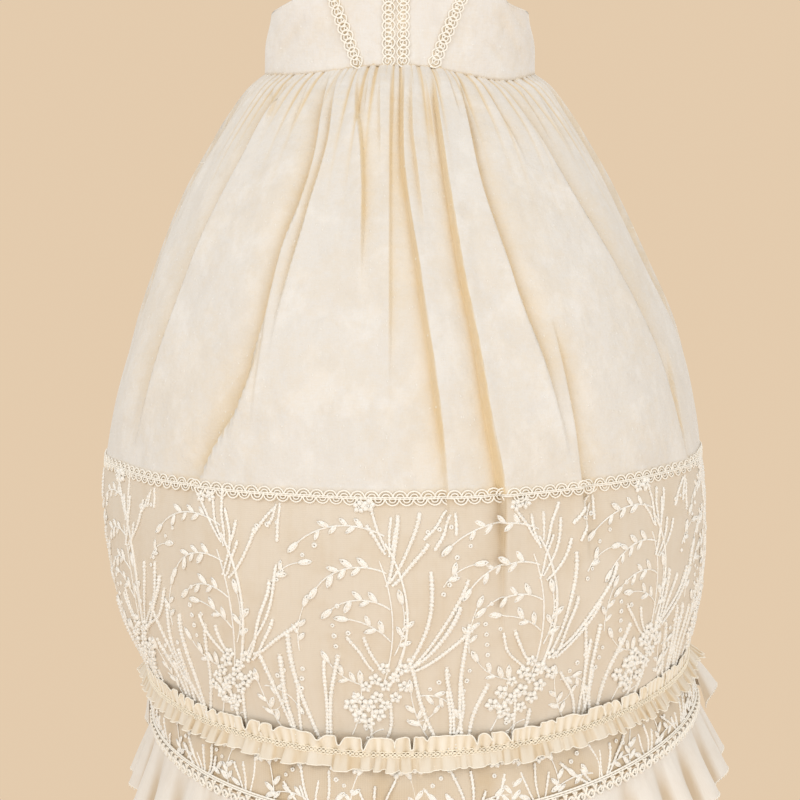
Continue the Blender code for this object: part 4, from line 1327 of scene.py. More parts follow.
def make_lower_tier(finish):
    turn = ring_turns(LOWER_TIER_COLUMNS)[None, :]
    theta = azimuth(turn)
    share = np.linspace(*LOWER_TIER_SHARES, LOWER_TIER_ROWS)[:, None]
    relief = lower_tier_relief(turn, share)
    places = lifted(lower_tier_base, theta, share, relief)
    # Painted shade in the tier's folds and above the braid, and an even painted shade over all of it,
    # under the frill.
    above_braid = (1 - share) * BRAID_SHADE_LENGTH - BRAID_SHADE_FROM
    valley = valley_depth(relief, 6, VALLEY_FULL_DEPTH) + painted_trim_shade(above_braid)
    valley = np.clip(valley + LOWER_TIER_SHADE, 0.0, 1.0)
    piece = cloth_sheet(
        "lower_tier_net", places, round_flat_x(LOWER_TIER_COLUMNS), -LOWER_TIER_LENGTH * share,
        finish, valley=valley,
    )
    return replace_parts(piece, "lower_tier")


def fine_folds(turn, count, seed):
    """Uneven fine folds round the gown: 0 in their valleys and 1 on their ridges."""
    valleys = uneven_valleys(np.random.default_rng(seed), FINE_FOLD_GAPS, count)
    number = np.interp(np.mod(turn, 1.0), valleys, np.arange(count + 1))
    return np.abs(np.sin(pi * number)) ** FINE_FOLD_SHARPNESS


def flounce_gathers(turn, share, seed):
    """Fine gathers just under a flounce's seam."""
    folds = fine_folds(turn, FLOUNCE_GATHERS, seed) - MEAN_RIDGE
    return FLOUNCE_GATHER_DEPTH * folds * np.exp(-((share / FLOUNCE_GATHER_REACH) ** 2))


def sharpened(wave, full):
    """Makes a wave's valleys narrower than its ridges."""
    part = np.clip(wave / full, -MOST_NARROWED, MOST_NARROWED)
    return wave - VALLEY_NARROWING * full * part**2


def hem_flounce_out(turn, share):
    wave = sharpened(hem_wave(turn, share), HEM_WAVE_DEPTH)
    return wave + flounce_gathers(turn, share, 21) + HEM_FLOUNCE_LIFT


def make_hem_flounce(finish):
    columns = HEM_WAVES * HEM_COLUMNS_A_WAVE
    turn = ring_turns(columns)[None, :]
    share = np.linspace(0.008, 1.0, FLOUNCE_ROWS)[:, None]
    relief = hem_flounce_out(turn, share)
    places = lifted(hem_flounce_base, azimuth(turn), share, relief)
    # Painted shade in the flounce's folds.
    valley = valley_depth(relief, HEM_COLUMNS_A_WAVE // 2, HEM_VALLEY_DEPTH)
    piece = cloth_sheet(
        "hem_flounce_cloth", places, round_flat_x(columns), -HEM_FLAT_LENGTH * share, finish,
        valley=valley,
    )
    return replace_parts(piece, "hem_flounce"), places[-1]


def back_flounce_out(turn, share):
    theta = BACK_FLOUNCE_START + (BACK_FLOUNCE_END - BACK_FLOUNCE_START) * turn
    swell = 1 + swelling(BACK_SWELLS, turn)
    depth = round_the_gown(theta, BACK_FLOUNCE_WAVE)
    wave = depth * swell * share * np.cos(tau * BACK_WAVES * turn)
    lift = BACK_FLOUNCE_LIFT + ORGANZA_WALL + BACK_FLOUNCE_BOW * np.sin(pi * share)
    from_end = np.minimum(turn, 1 - turn) * (BACK_FLOUNCE_END - BACK_FLOUNCE_START)
    tucked = BACK_END_TUCK * share * np.exp(-((from_end / BACK_END_REACH) ** 2))
    return theta, lift - wave - tucked + flounce_gathers(turn * 0.5, share, 22)


def make_back_flounce(finish):
    columns = BACK_WAVES * BACK_COLUMNS_A_WAVE + 1
    turn = np.linspace(0.0, 1.0, columns)[None, :]
    share = np.linspace(0.0, 1.0, FLOUNCE_ROWS)[:, None]
    theta, out = back_flounce_out(turn, share)
    places = lifted(back_flounce_base, theta, share, out)
    # Painted shade in the flounce's folds.
    valley = valley_depth(out, BACK_VALLEY_REACH, BACK_VALLEY_DEPTH)
    piece = cloth_sheet(
        "back_flounce_cloth", places, theta * FLAT_RADIUS, -BACK_FLAT_LENGTH * share, finish, False,
        valley,
    )
    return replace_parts(piece, "back_flounce"), places[-1]


# ---- the headed ruffle

HEADING_LENGTH = 10.4 * MM
HEADING_FOLDS = 225
HEADING_ROWS = 9

# How far each wave of the heading flops, how wide its dip is, and how far it leans.
FLOPS = (0.25, 0.88)
DIP_HALF_WIDTHS = (0.09, 0.20)
SKEWS = (-0.9, 0.9)
PINCHES = (-0.5, 1.2)
SIDE_FORWARD = 0.1
SIDE_HUG = 0.62
BURIED = 0.2 * MM
HEADING_COLUMNS_A_WAVE = 20
LOWER_FRILL_DROP = 7.7 * MM
LOWER_FRILL_ROWS = 7
PLEATS = 118
COLUMNS_A_PLEAT = 16
STITCH_STAND = 1.9 * MM
ROLLED_EDGE_RADIUS = 0.42 * MM
FRILL_EDGE_SHARE = 0.8
RUFFLE_FULLNESS = 1.5
RUFFLE_FLAT_LENGTH = 0.012
PUSH_RISES = (-10.0 * MM, 0.0, 12.0 * MM)
PUSHES = (7.2 * MM, 1.8 * MM, 1.0 * MM)
FOLD_DEPTH = 1.6 * MM
PLEAT_GAPS = (0.55, 1.6)

# The ranges of a pleat's strength, width, slant in mm and drop in mm.
PLEAT_RANGES = ((0.35, 1.25), (0.42, 0.70), (-0.4, 1.9), (-0.6, 0.6))
PLEAT_DEPTH_MM = 3.0
PLEAT_FLARE_MM = 1.9
FRILL_FOLD_DEPTH = 0.5 * MM
FRILL_SPREAD = 0.8 * MM
PLEAT_BOW_MM = 0.6
PLEAT_RISE = 0.18
PLEAT_FALL = 0.24
STITCH_COLUMNS = 1000
STITCH_OUT = STITCH_STAND + 0.9 * MM
STITCH_HALF_GAP = 0.95 * MM
STITCH_RADIUS = 0.36 * MM
STITCH_PITCH = 2.35 * MM


def round_tangent(level):
    """The direction round the gown, by +theta, at a level outward direction."""
    return points(-level[..., 1], level[..., 0], 0.0)


def back_push(theta, rise):
    """The ruffle stands further out where the back flounce hangs beneath it."""
    from_front = np.minimum(np.mod(theta, tau), tau - np.mod(theta, tau))
    at_back = smoothstep(RUFFLE_PUSH_FROM, RUFFLE_PUSH_TO, from_front)
    return at_back * np.interp(rise, PUSH_RISES, PUSHES)


def wave_numbers(turn):
    """Which wave of the heading a column is in, and where in it, from -0.5 to 0.5."""
    number = RUFFLE_WAVES * turn + 1.9 * swelling(RUFFLE_LEANS, turn) / tau
    number = number + 0.30 * np.sin(tau * 29 * turn) + 0.24 * np.sin(tau * 17 * turn + 1.0)
    nearest = np.floor(number + 0.5)
    return np.mod(nearest, RUFFLE_WAVES).astype(int), number - nearest


def heading_places(turn, share):
    """The ruffle's heading: it stands up, and flops forward over its stitching in dips."""
    random = np.random.default_rng(31)
    theta = azimuth(turn)
    wave, local = wave_numbers(turn)

    def of_wave(least, most):
        return random.uniform(least, most, RUFFLE_WAVES)[wave]

    flop = of_wave(*FLOPS)
    half_width = of_wave(*DIP_HALF_WIDTHS)
    skew = of_wave(*SKEWS)
    pinch = of_wave(*PINCHES)
    away = (local + 0.5 * skew * (0.25 - local**2)) / half_width
    dip = np.exp(-np.abs(away) ** 2.6)
    ripple = np.sin(tau * 197 * turn + 2.2 * np.sin(tau * 31 * turn))
    first = 0.05 + 0.50 * flop * dip
    bend = 0.16 + 1.42 * flop * dip + 0.08 * ripple
    length = HEADING_LENGTH * (0.97 + 0.06 * np.sin(tau * 13 * turn + 1.0))
    rise = length * (np.sin(first + bend * share) - np.sin(first)) / bend
    forward = length * (np.cos(first) - np.cos(first + bend * share)) / bend
    forward = forward * (SIDE_FORWARD + (1 - SIDE_FORWARD) * np.cos(theta) ** 2)
    folds = fine_folds(turn, HEADING_FOLDS, 33)
    out = STITCH_STAND + forward + FOLD_DEPTH * (folds - MEAN_RIDGE) * (1 - 0.6 * share)
    out = out * (1 - SIDE_HUG * share * np.sin(theta) ** 2)
    out = out + back_push(theta, rise)
    lean = -pinch * 2.2 * away * dip**0.5 + 1.8 * skew * flop * dip
    base = ruffle_base(theta, rise)
    level = level_outward(base)
    places = base + level * out[..., None]
    places = places + round_tangent(level) * (lean * MM * share)[..., None]
    # Painted shade in the fine folds, at the foot and where the dips turn over; the tucked row is
    # painted fully shaded.
    turned = np.clip(1.6 * np.abs(away) ** 1.6 * dip, 0.0, 1.0) * flop * share
    foot = np.exp(-((share / 0.2) ** 2))
    valley = 0.65 * (1 - folds**2) * (1 - 0.4 * share) + 0.15 * foot + 0.5 * turned
    tucked = (base - level * BURIED)[:1]
    places = np.concatenate((tucked, places))
    valley = np.concatenate((np.ones_like(valley[:1]), valley))
    return places, np.clip(valley, 0.0, 1.0)


def pleat_places(turn):
    """Where each column lies across its pleat, and which pleat it is."""
    random = np.random.default_rng(37)
    edges = uneven_valleys(random, PLEAT_GAPS, PLEATS)
    number = np.interp(turn, edges, np.arange(PLEATS + 1))
    pleat = np.minimum(np.floor(number).astype(int), PLEATS - 1)
    return number - pleat, pleat, random


def lower_frill_places(turn, share):
    """Small flat pleats that stand out between recesses, and flare a little as they fall."""
    theta = azimuth(turn)
    rise = -LOWER_FRILL_DROP * share
    base = ruffle_base(theta, rise)
    level = level_outward(base)
    across, pleat, random = pleat_places(turn)
    drawn = (random.uniform(*row, PLEATS)[pleat] for row in PLEAT_RANGES)
    strength, plateau, slant, drop = drawn
    rising = smoothstep(0.0, PLEAT_RISE, across)
    falling = 1 - smoothstep(plateau, plateau + PLEAT_FALL, across)
    stands = rising * falling
    bow = np.sin(pi * np.clip(across / plateau, 0, 1)) * PLEAT_BOW_MM
    folds = fine_folds(turn, HEADING_FOLDS, 34)
    out = STITCH_STAND + strength * (PLEAT_DEPTH_MM * stands + bow) * MM * share**0.7
    out = out + FRILL_FOLD_DEPTH * (folds - MEAN_RIDGE) * (1 - share)
    out = out + FRILL_SPREAD * share + back_push(theta, rise)
    flare = (0.5 - across / (plateau + PLEAT_FALL)) * stands
    lean = -strength * MM * (PLEAT_FLARE_MM * flare + slant * stands) * share
    places = base + level * out[..., None] + round_tangent(level) * lean[..., None]
    places[..., 2] += (drop - 0.6 * stands * strength) * MM * share
    # Painted shade at the pleats' turns, in their recesses and at the foot.
    steps = 4 * (rising * (1 - rising) + 0.7 * falling * (1 - falling))
    recess = 0.30 + 0.40 * (1 - stands)
    foot = 0.35 * np.exp(-((share / 0.16) ** 2)) + 0.4 * (1 - folds) * (1 - share)
    return places, np.clip((0.6 * steps * share**0.5 + recess) * strength + foot, 0.0, 1.0)


def ruffle_half(name, finish, columns, rows, shape):
    """One side of the ruffle, with its rows going down, and its free edge."""
    turn = ring_turns(columns)[None, :]
    share = np.linspace(0.0, 1.0, rows)[:, None]
    places, valley = shape(turn, share)
    edge = places[-1]
    if shape is heading_places:
        places, valley = places[::-1], valley[::-1]
    flat_y = np.linspace(RUFFLE_FLAT_LENGTH, 0.0, len(places))[:, None]
    flat_x = round_flat_x(columns, RUFFLE_FULLNESS)
    return cloth_sheet(name, places, flat_x, flat_y, finish, valley=valley), edge


def ring_cord(path, radius):
    return Cord(path, radius, level_outward(path), True)


def make_ruffle(finish, frill_finish, edge_finish):
    heading, upper_edge = ruffle_half(
        "ruffle_heading", finish, RUFFLE_WAVES * HEADING_COLUMNS_A_WAVE, HEADING_ROWS,
        heading_places,
    )
    frill, lower_edge = ruffle_half(
        "ruffle_frill", frill_finish, PLEATS * COLUMNS_A_PLEAT, LOWER_FRILL_ROWS,
        lower_frill_places,
    )
    edges = (
        ring_cord(upper_edge, ROLLED_EDGE_RADIUS),
        ring_cord(lower_edge, ROLLED_EDGE_RADIUS * FRILL_EDGE_SHARE),
    )
    rolled = grow_cords("ruffle_rolled_edges", edges, edge_finish, step=0.9 * MM, sides=5)
    return [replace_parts(piece, "ruffle") for piece in (heading, frill, rolled)]


def make_ruffle_stitching(finish):
    """Two rows of chain stitch along the gathering line."""
    theta = azimuth(ring_turns(STITCH_COLUMNS))
    base = ruffle_base(theta, np.zeros_like(theta))
    out = STITCH_OUT + back_push(theta, 0.0)
    middle = base + level_outward(base) * out[..., None]
    rows = [ring_cord(middle + (0.0, 0.0, side * STITCH_HALF_GAP), STITCH_RADIUS) for side in (1, -1)]
    piece = repeat_along("ruffle_stitching", rows, "link", finish, STITCH_PITCH, 1.0, 0.12, 17)
    return piece


# ---- lace braids

LACE_PITCH = 7.5 * MM
BODICE_LACE_PITCH = 5.0 * MM
BODICE_LACE_LIFT = 0.5 * MM
STRIP_POINTS = 60
DROP_PITCH = 6.9 * MM
DROP_SIZE = 1.42
PICOT_PITCH = 2.9 * MM
UPPER_BRAID_LIFT = 0.7 * MM
UPPER_CORD_LIFT = 0.9 * MM
UPPER_CORD_RADIUS = 0.40 * MM
UPPER_CORD_DROPS = (-0.42 * MM, 0.42 * MM)
DROP_HEIGHT = 1.2 * MM
DROP_LIFT = 2.0 * MM

# The lower braid's two rolls: how far above its seam, and how far out from the cloth.
LOWER_ROLLS = ((4.6 * MM, 1.3 * MM), (3.3 * MM, 1.5 * MM))
LOWER_ROLL_RADIUS = 0.58 * MM
BRAID_COLUMNS = 720
HEM_THREAD_RADIUS = 0.33 * MM


def skirt_ring(drop, out, radius=UPPER_CORD_RADIUS):
    """A closed cord round the skirt, below its braid's seam and out from its surface."""
    theta = tau * ring_turns(BRAID_COLUMNS)
    height = round_the_gown(theta, BRAID_SEAM) - drop
    return Cord(skirt_point(theta, height, out), radius, outward(skirt_base, theta, height), True)


def make_upper_braid(finish):
    line = skirt_ring(0.0, UPPER_BRAID_LIFT)
    arches = repeat_along("upper_braid_arches", (line,), "arch", finish, LACE_PITCH)
    cords = [skirt_ring(drop, UPPER_CORD_LIFT) for drop in UPPER_CORD_DROPS]
    cords = grow_cords(
        "upper_braid_cords", cords, finish, step=1.3 * MM, sides=5, knob_depth=0.16,
        knob_pitch=2.6 * MM,
    )
    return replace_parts(join_into(arches, cords), "upper_braid")


def lower_ring(above, out):
    """A closed cord round the foot of the lower tier, above its seam and out from it."""
    theta = azimuth(ring_turns(BRAID_COLUMNS))
    top = lower_tier_base(theta, np.zeros_like(theta))
    foot = lower_tier_base(theta, np.ones_like(theta))
    share = 1 - above / np.linalg.norm(top - foot, axis=-1)
    path = lifted(lower_tier_base, theta, share, out + 0.0 * share)
    return Cord(path, LOWER_ROLL_RADIUS, outward(lower_tier_base, theta, share), True)


def make_lower_braid(finish):
    line = lower_ring(DROP_HEIGHT, DROP_LIFT)
    drops = repeat_along("lower_braid_drops", (line,), "drop", finish, DROP_PITCH, DROP_SIZE, 0.06, 5)
    rolls = grow_cords(
        "lower_braid_rolls", [lower_ring(above, out) for above, out in LOWER_ROLLS], finish,
        step=1.5 * MM, sides=5, knob_depth=0.12, knob_pitch=3.0 * MM,
    )
    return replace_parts(join_into(drops, rolls), "lower_braid")


def make_bodice_braid(strip, finish):
    """Crossing arches along a line of the bodice front, their bigger side outwards."""
    foot = (strip.foot_x, strip.foot_z)
    head = (strip.head_x, strip.head_z)
    start, end = (foot, head) if strip.outer_side > 0 else (head, foot)
    x, z = np.linspace(start, end, STRIP_POINTS).T
    path = bodice_point(x, z, -WAIST_FRONT_DEPTH, BODICE_LACE_LIFT)
    line = Cord(path, BODICE_LACE_LIFT, bodice_normal(x, z, -WAIST_FRONT_DEPTH), False)
    piece = repeat_along(strip.name + "_lace", (line,), "ring", finish, BODICE_LACE_PITCH, 1.0, 0.06, 11)
    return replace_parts(piece, strip.name)


def make_hem_picots(name, hem, closed, finish):
    """Picots and a fine rolled thread along a hem."""
    line = Cord(hem, HEM_THREAD_RADIUS, level_outward(hem), closed)
    picots = repeat_along(name, (line,), "picot", finish, PICOT_PITCH, 1.0, 0.15, 8)
    roll = grow_cords(name + "_roll", (line,), finish, step=1.6 * MM, sides=4)
    return join_into(picots, roll)


# ---- bodice

BODICE_COLUMNS = 104
BODICE_ROWS = 60
HALF_BACK_COLUMNS = 58
EDGE_STITCH_INSET = 0.055
NECK_STITCH_INSET = 0.75 * EDGE_STITCH_INSET
LAP_STITCH_INSET = 0.035
EDGE_STITCH_LIFT = 0.12 * MM
EDGE_STITCH_PITCH = 2.9 * MM
STITCH_LINE_POINTS = 60
SWELL_DEPTH = 0.16 * MM
# How much shade is painted in the bodice's creases, above its waist and under its braid strips.
SHADE_FULL_DEPTH = 7 * MM
WAIST_SHADE = 0.45
WAIST_SHADE_SHARE = 0.012
STRIP_SHADE = 0.75
STRIP_SHADE_REACH = 3.2 * MM
STRIP_SHADE_MOST = 0.8

# Soft creases: where each starts and ends on the flat view, its depth and its width.
Crease = namedtuple("Crease", "start end depth_mm width_mm")
FRONT_CREASES = (
    Crease((-0.0800, -0.1280), (-0.0600, -0.1020), 1.3, 3.0),
    Crease((-0.0830, -0.1160), (-0.0660, -0.0960), 1.0, 2.6),
    Crease((-0.0740, -0.1300), (-0.0520, -0.1140), 0.8, 2.4),
    Crease((0.0800, -0.1290), (0.0620, -0.1010), 1.3, 3.0),
    Crease((0.0820, -0.1130), (0.0690, -0.0930), 0.9, 2.4),
    Crease((0.0720, -0.1310), (0.0500, -0.1160), 0.8, 2.4),
    Crease((-0.0300, -0.1300), (-0.0340, -0.1080), 0.5, 2.4),
    Crease((0.0340, -0.1310), (0.0400, -0.1060), 0.5, 2.4),
)
BACK_CREASES = (
    Crease((-0.0780, -0.1270), (-0.0560, -0.1000), 1.1, 3.0),
    Crease((0.0780, -0.1270), (0.0540, -0.1020), 1.1, 3.0),
    Crease((0.0300, -0.1290), (0.0260, -0.0900), 0.7, 3.0),
    Crease((-0.0320, -0.1290), (-0.0280, -0.0940), 0.7, 3.0),
)

# A panel of the bodice: its node, its neckline, its depth, its side and its creases.
Panel = namedtuple("Panel", "node neck_drop depth side creases")
BACK = (BACK_NECK_DROP, WAIST_BACK_DEPTH)
FRONT_PANEL = Panel("bodice_front", FRONT_NECK_DROP, -WAIST_FRONT_DEPTH, 1, FRONT_CREASES)
BACK_LEFT_PANEL = Panel("bodice_back_left", *BACK, 1, BACK_CREASES)
BACK_RIGHT_PANEL = Panel("bodice_back_right", *BACK, -1, BACK_CREASES)


def crease_relief(x, z, creases):
    relief = np.zeros(np.broadcast(x, z).shape)
    for crease in creases:
        start, end = np.array(crease.start), np.array(crease.end)
        run = end - start
        share = np.clip(((x - start[0]) * run[0] + (z - start[1]) * run[1]) / (run @ run), 0, 1)
        away = np.hypot(x - start[0] - run[0] * share, z - start[1] - run[1] * share)
        strength = np.sin(pi * (0.15 + 0.85 * (1 - share)) ** 0.8)
        relief -= crease.depth_mm * MM * strength * np.exp(-((away / (crease.width_mm * MM)) ** 2))
    return relief


def soft_swell(x, z):
    """The cotton's own slow unevenness."""
    waves = np.sin(x * 180 + z * 60) + np.sin(z * 230 - x * 70 + 1.0) + np.sin(x * 90 + 2.0)
    return SWELL_DEPTH * waves


def bodice_shade(relief, up):
    """Painted shade in the creases and just above the waist seam."""
    creased = np.clip(-relief / SHADE_FULL_DEPTH, 0, 1)
    return creased + WAIST_SHADE * np.exp(-((up / WAIST_SHADE_SHARE) ** 2))


def strip_shade(x, z):
    """Painted shade under the strips of braid."""
    shade = np.zeros(np.broadcast(x, z).shape)
    for strip in BODICE_STRIPS:
        share = np.clip((z - strip.foot_z) / (strip.head_z - strip.foot_z), 0.0, 1.0)
        middle = strip.foot_x + (strip.head_x - strip.foot_x) * share
        past = np.maximum(0.0, z - strip.head_z)
        away = np.hypot(x - middle, past) / STRIP_SHADE_REACH
        shade += STRIP_SHADE * np.exp(-(away**4))
    return np.clip(shade, 0.0, STRIP_SHADE_MOST)


def panel_point(panel, across, up, side):
    """Where points of a panel lie on the flat view, and how far its lap stands out."""
    x, z = panel_place(np.abs(across), up, panel.neck_drop)
    lift = 0.0 * x
    if panel.depth > 0:
        x = x - LAP_HALF_WIDTH * (1 - across) ** LAP_FLARE_POWER
        lift = lap_lift(x) if panel.side > 0 else lift
    x, z = with_waist_sag(side * x, z, up, panel.depth)
    return x, z, lift


def make_panel(panel, finish):
    """One panel of the bodice, both faces of its cloth and its turned edges."""
    if panel.depth < 0:
        across = np.linspace(-1.0, 1.0, BODICE_COLUMNS + 1)[None, :]
        side = np.where(across >= 0, 1.0, -1.0)
    else:
        across = np.linspace(0.0, 1.0, HALF_BACK_COLUMNS + 1)[None, :]
        side = panel.side
    up = np.linspace(1.0, 0.0, BODICE_ROWS)[:, None]
    x, z, lift = panel_point(panel, across, up, side)
    relief = crease_relief(x, z, panel.creases) + soft_swell(x, z)
    outer = bodice_point(x, z, panel.depth, relief + lift)
    inner = bodice_point(x, z, panel.depth, relief + lift - BODICE_THICKNESS)
    # Painted shade in the creases, above the waist and, on the front, under the braid strips.
    valley = bodice_shade(relief, up)
    if panel.depth < 0:
        valley = valley + strip_shade(x, z)
    piece = double_cloth(panel.node + "_cloth", outer, inner, x, z, finish, valley)
    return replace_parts(piece, panel.node)


def stitch_line(panel, across, up, side):
    """A line of stitches on a panel, given by how far across and up it runs."""
    x, z, lift = panel_point(panel, across, up, side)
    path = bodice_point(x, z, panel.depth, EDGE_STITCH_LIFT + lift)
    return Cord(path, 0.3 * MM, bodice_normal(x, z, panel.depth), False)


def make_edge_stitching(finish):
    """Running stitches just inside the neckline, the armholes and the back lap."""
    count = STITCH_LINE_POINTS
    up = np.linspace(SIDE_SEAM_SHARE + 0.02, 0.97, count)
    across = np.linspace(0.0, NECK_SHARE - 0.03, count)
    cords = []
    for side, back in ((1, BACK_LEFT_PANEL), (-1, BACK_RIGHT_PANEL)):
        for panel in (FRONT_PANEL, back):
            beside = np.full(count, 1 - EDGE_STITCH_INSET)
            below = np.full(count, 1 - NECK_STITCH_INSET)
            cords.append(stitch_line(panel, beside, up, side))
            cords.append(stitch_line(panel, across, below, side))
    rows = np.linspace(0.02, 0.94, count)
    cords.append(stitch_line(BACK_LEFT_PANEL, np.full(count, LAP_STITCH_INSET), rows, 1))
    piece = repeat_along("edge_stitching", cords, "stitch", finish, EDGE_STITCH_PITCH, 1.0, 0.05, 13)
    return piece


# A button's half section from its middle to its rim and back, as shares of its size.
BUTTON_PROFILE = (
    (0.0, 0.62), (0.30, 0.62), (0.55, 0.66), (0.66, 0.80), (0.76, 0.96), (0.86, 1.0),
    (0.95, 0.90), (1.0, 0.62), (0.98, 0.30), (0.88, 0.06), (0.60, 0.0), (0.0, 0.0),
)
BUTTON_COLUMNS = 40
SEWING_REACH = 1.25 * MM
SEWING_STAND = 0.35 * MM
SEWING_RADIUS = 0.28 * MM
SEWING_POINTS = 9


def make_button(number, height, finish, thread):
    """A turned button with a raised rim, sewn on with crossed thread."""
    name = f"button_{number}"
    x = np.array(0.0)
    z = np.array(height)
    centre = bodice_point(x, z, WAIST_BACK_DEPTH, np.array(LAP_RISE + SEAM_GAP))
    normal = bodice_normal(x, z, WAIST_BACK_DEPTH)
    side = np.array((1.0, 0.0, 0.0))
    upward = np.cross(normal, side)
    angles = tau * ring_turns(BUTTON_COLUMNS)
    spoke = side * np.cos(angles)[:, None] + upward * np.sin(angles)[:, None]
    rows = [
        centre + spoke * radius * BUTTON_RADIUS + normal * rise * BUTTON_THICKNESS
        for radius, rise in BUTTON_PROFILE
    ]
    mesh = mesh_of(name, np.array(rows), quad_faces(len(rows), BUTTON_COLUMNS, True))
    face_outwards(mesh, weld=True)
    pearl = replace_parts(show(name + "_pearl", mesh, finish), name)
    share = np.linspace(-1, 1, SEWING_POINTS)[:, None]
    rise = BUTTON_PROFILE[0][1] * BUTTON_THICKNESS + SEWING_STAND * (1 - share**4)
    cords = []
    for lean in (1, -1):
        direction = (side + upward * lean) / np.sqrt(2)
        path = centre + direction * share * SEWING_REACH + normal * rise
        cords.append(Cord(path, SEWING_RADIUS, np.tile(normal, (SEWING_POINTS, 1)), False))
    sewn = grow_cords(
        name + "_thread", cords, thread, step=0.4 * MM, sides=5, knob_depth=0.15,
        knob_pitch=0.8 * MM,
    )
    return pearl, sewn


# ---- embroidery

# A spray is drawn flat, in millimetres: x across, y up from the seam at its foot.
# Directions are in degrees from the +x side, and 90 is straight up.
SPRAY_HEIGHT = 144.0
HEM_SPRAY_HEIGHT = 40.0
SPRAY_RADIUS = 0.185

# Reeds that fan out from one foot. Each starts in its own direction and bends.
Fan = namedtuple("Fan", "x y toward_deg spread_deg count length radius bend_deg")
TIER_FANS = (
    Fan(-38, -4, 96, 46, 3, 76, 1.45, -14),
    Fan(-8, -4, 78, 36, 2, 40, 1.30, 16),
    Fan(34, -4, 88, 44, 3, 70, 1.45, 14),
    Fan(13, 48, 40, 46, 4, 60, 1.35, 40),
    Fan(-5, 46, 132, 26, 2, 30, 1.20, -30),
    Fan(3, 94, 54, 40, 3, 42, 1.20, 30),
    Fan(2, 112, 98, 76, 4, 30, 1.15, 0),
    Fan(34, 134, 250, 70, 3, 22, 1.15, 0),
)
HEM_FANS = (
    Fan(0, -4, 92, 120, 6, 36, 1.05, 10),
    Fan(40, -4, 96, 60, 3, 34, 1.0, -8),
)

# A stem that bends from one direction to another, with leaves along it in turn.
Branch = namedtuple("Branch", "x y from_deg to_deg length radius leaves leaf_length")
TIER_BRANCHES = (
    Branch(2, 40, 62, 122, 84, 1.0, 0, 0),
    Branch(-1, 42, 72, 112, 70, 0.6, 0, 0),
    Branch(1, 104, 156, 236, 42, 0.60, 7, 7.2),
    Branch(0, 124, 152, 224, 50, 0.60, 7, 7.2),
    Branch(3, 84, 146, 222, 34, 0.55, 5, 7.2),
    Branch(3, 66, 132, 176, 26, 0.50, 4, 7.2),
    Branch(5, 58, 62, 104, 30, 0.50, 4, 7.5),
    Branch(-22, 10, 62, 92, 32, 0.50, 5, 7.2),
    Branch(24, 8, 122, 96, 30, 0.50, 5, 7.2),
    Branch(18, 34, 8, -60, 22, 0.45, 4, 6.6),
    Branch(-12, 40, 172, 120, 24, 0.45, 4, 7.0),
    Branch(44, 58, 96, 66, 26, 0.45, 4, 6.6),
    Branch(30, 96, 60, 8, 20, 0.45, 3, 7.0),
    Branch(-2, 14, 190, 250, 14, 0.40, 1, 5.0),
    Branch(12, 20, -20, 58, 16, 0.40, 1, 5.0),
)
HEM_BRANCHES = (
    Branch(-6, 10, 160, 205, 22, 0.50, 4, 6.5),
    Branch(6, 10, 20, -25, 22, 0.50, 4, 6.5),
    Branch(-30, 0, 80, 110, 26, 0.50, 4, 6.5),
    Branch(24, 2, 100, 60, 26, 0.50, 4, 6.5),
)

# Beads in a row, at an even pitch.
BeadRow = namedtuple("BeadRow", "x y toward_deg count pitch")
TIER_BEADS = (
    BeadRow(-26, 50, 96, 5, 6.0),
    BeadRow(41, 30, 78, 4, 6.0),
    BeadRow(9, 64, 82, 5, 4.6),
    BeadRow(-44, 112, 40, 2, 9.0),
    BeadRow(22, 126, 12, 3, 6.0),
    BeadRow(-20, 70, 110, 3, 8.0),
    BeadRow(24, 38, 40, 3, 6.0),
    BeadRow(30, 92, 60, 3, 6.0),
    BeadRow(-12, 8, 100, 2, 6.0),
)
HEM_BEADS = (
    BeadRow(-20, 22, 40, 3, 6.0),
    BeadRow(14, 24, -30, 3, 6.0),
)

# A band of flowers set close together, slanting up across the spray.
FlowerBand = namedtuple("FlowerBand", "x y toward_deg length rows gap")
TIER_FLOWERS = (
    FlowerBand(-19, 19, 48, 42, 3, 7.8),
    FlowerBand(-14, 139, 4, 12, 1, 6.2),
)
HEM_FLOWERS = (
    FlowerBand(-40, 30, 12, 22, 1, 6.0),
    FlowerBand(14, 33, -6, 16, 1, 6.2),
)

FRONT_SPRAYS_DEG = (-59.0, -31.0, -2.5, 22.5, 48.0)
SPRAY_PITCH_DEG = 28.2
EMBROIDERY_LIFT = 0.1 * MM
STROKE_STAND = 0.35
LEAF_MOTIF_LENGTH = 7.0
LEAF_LEAN_DEG = 42.0
TIP_LEAF_SIZE = 1.1
FLOWER_SIZES = (1.0, 1.35)
BEAD_SIZES = (0.85, 1.15)
LEAF_SIZES = (0.8, 1.1)
REED_LENGTHS = (0.5, 1.0)
REED_BENDS = (0.6, 1.3)
REED_RADII = (0.8, 1.05)
REED_FOOT_SHARE = 0.72
REED_TIP_SHARE = 0.8
REED_FOOT_WIDTH = 6.0
REED_STRAIGHTENING = 0.4
REED_JITTER_DEG = 4.0
REED_WIGGLE_DEG = 13.0

Spray = namedtuple("Spray", "fans branches beads flowers")
TIER_SPRAY = Spray(TIER_FANS, TIER_BRANCHES, TIER_BEADS, TIER_FLOWERS)
HEM_SPRAY = Spray(HEM_FANS, HEM_BRANCHES, HEM_BEADS, HEM_FLOWERS)


def tier_place(centre, flat_x, flat_y, out):
    """A point of a spray on the deep tier, and the outward direction there."""
    theta = np.radians(centre) + flat_x * MM / SPRAY_RADIUS
    high = round_the_gown(theta, BRAID_SEAM)
    low = round_the_gown(theta, RUFFLE_SEAM)
    height = high + (low - high) * (1 - flat_y / SPRAY_HEIGHT)
    return skirt_point(theta, height, out), outward(skirt_base, theta, height)


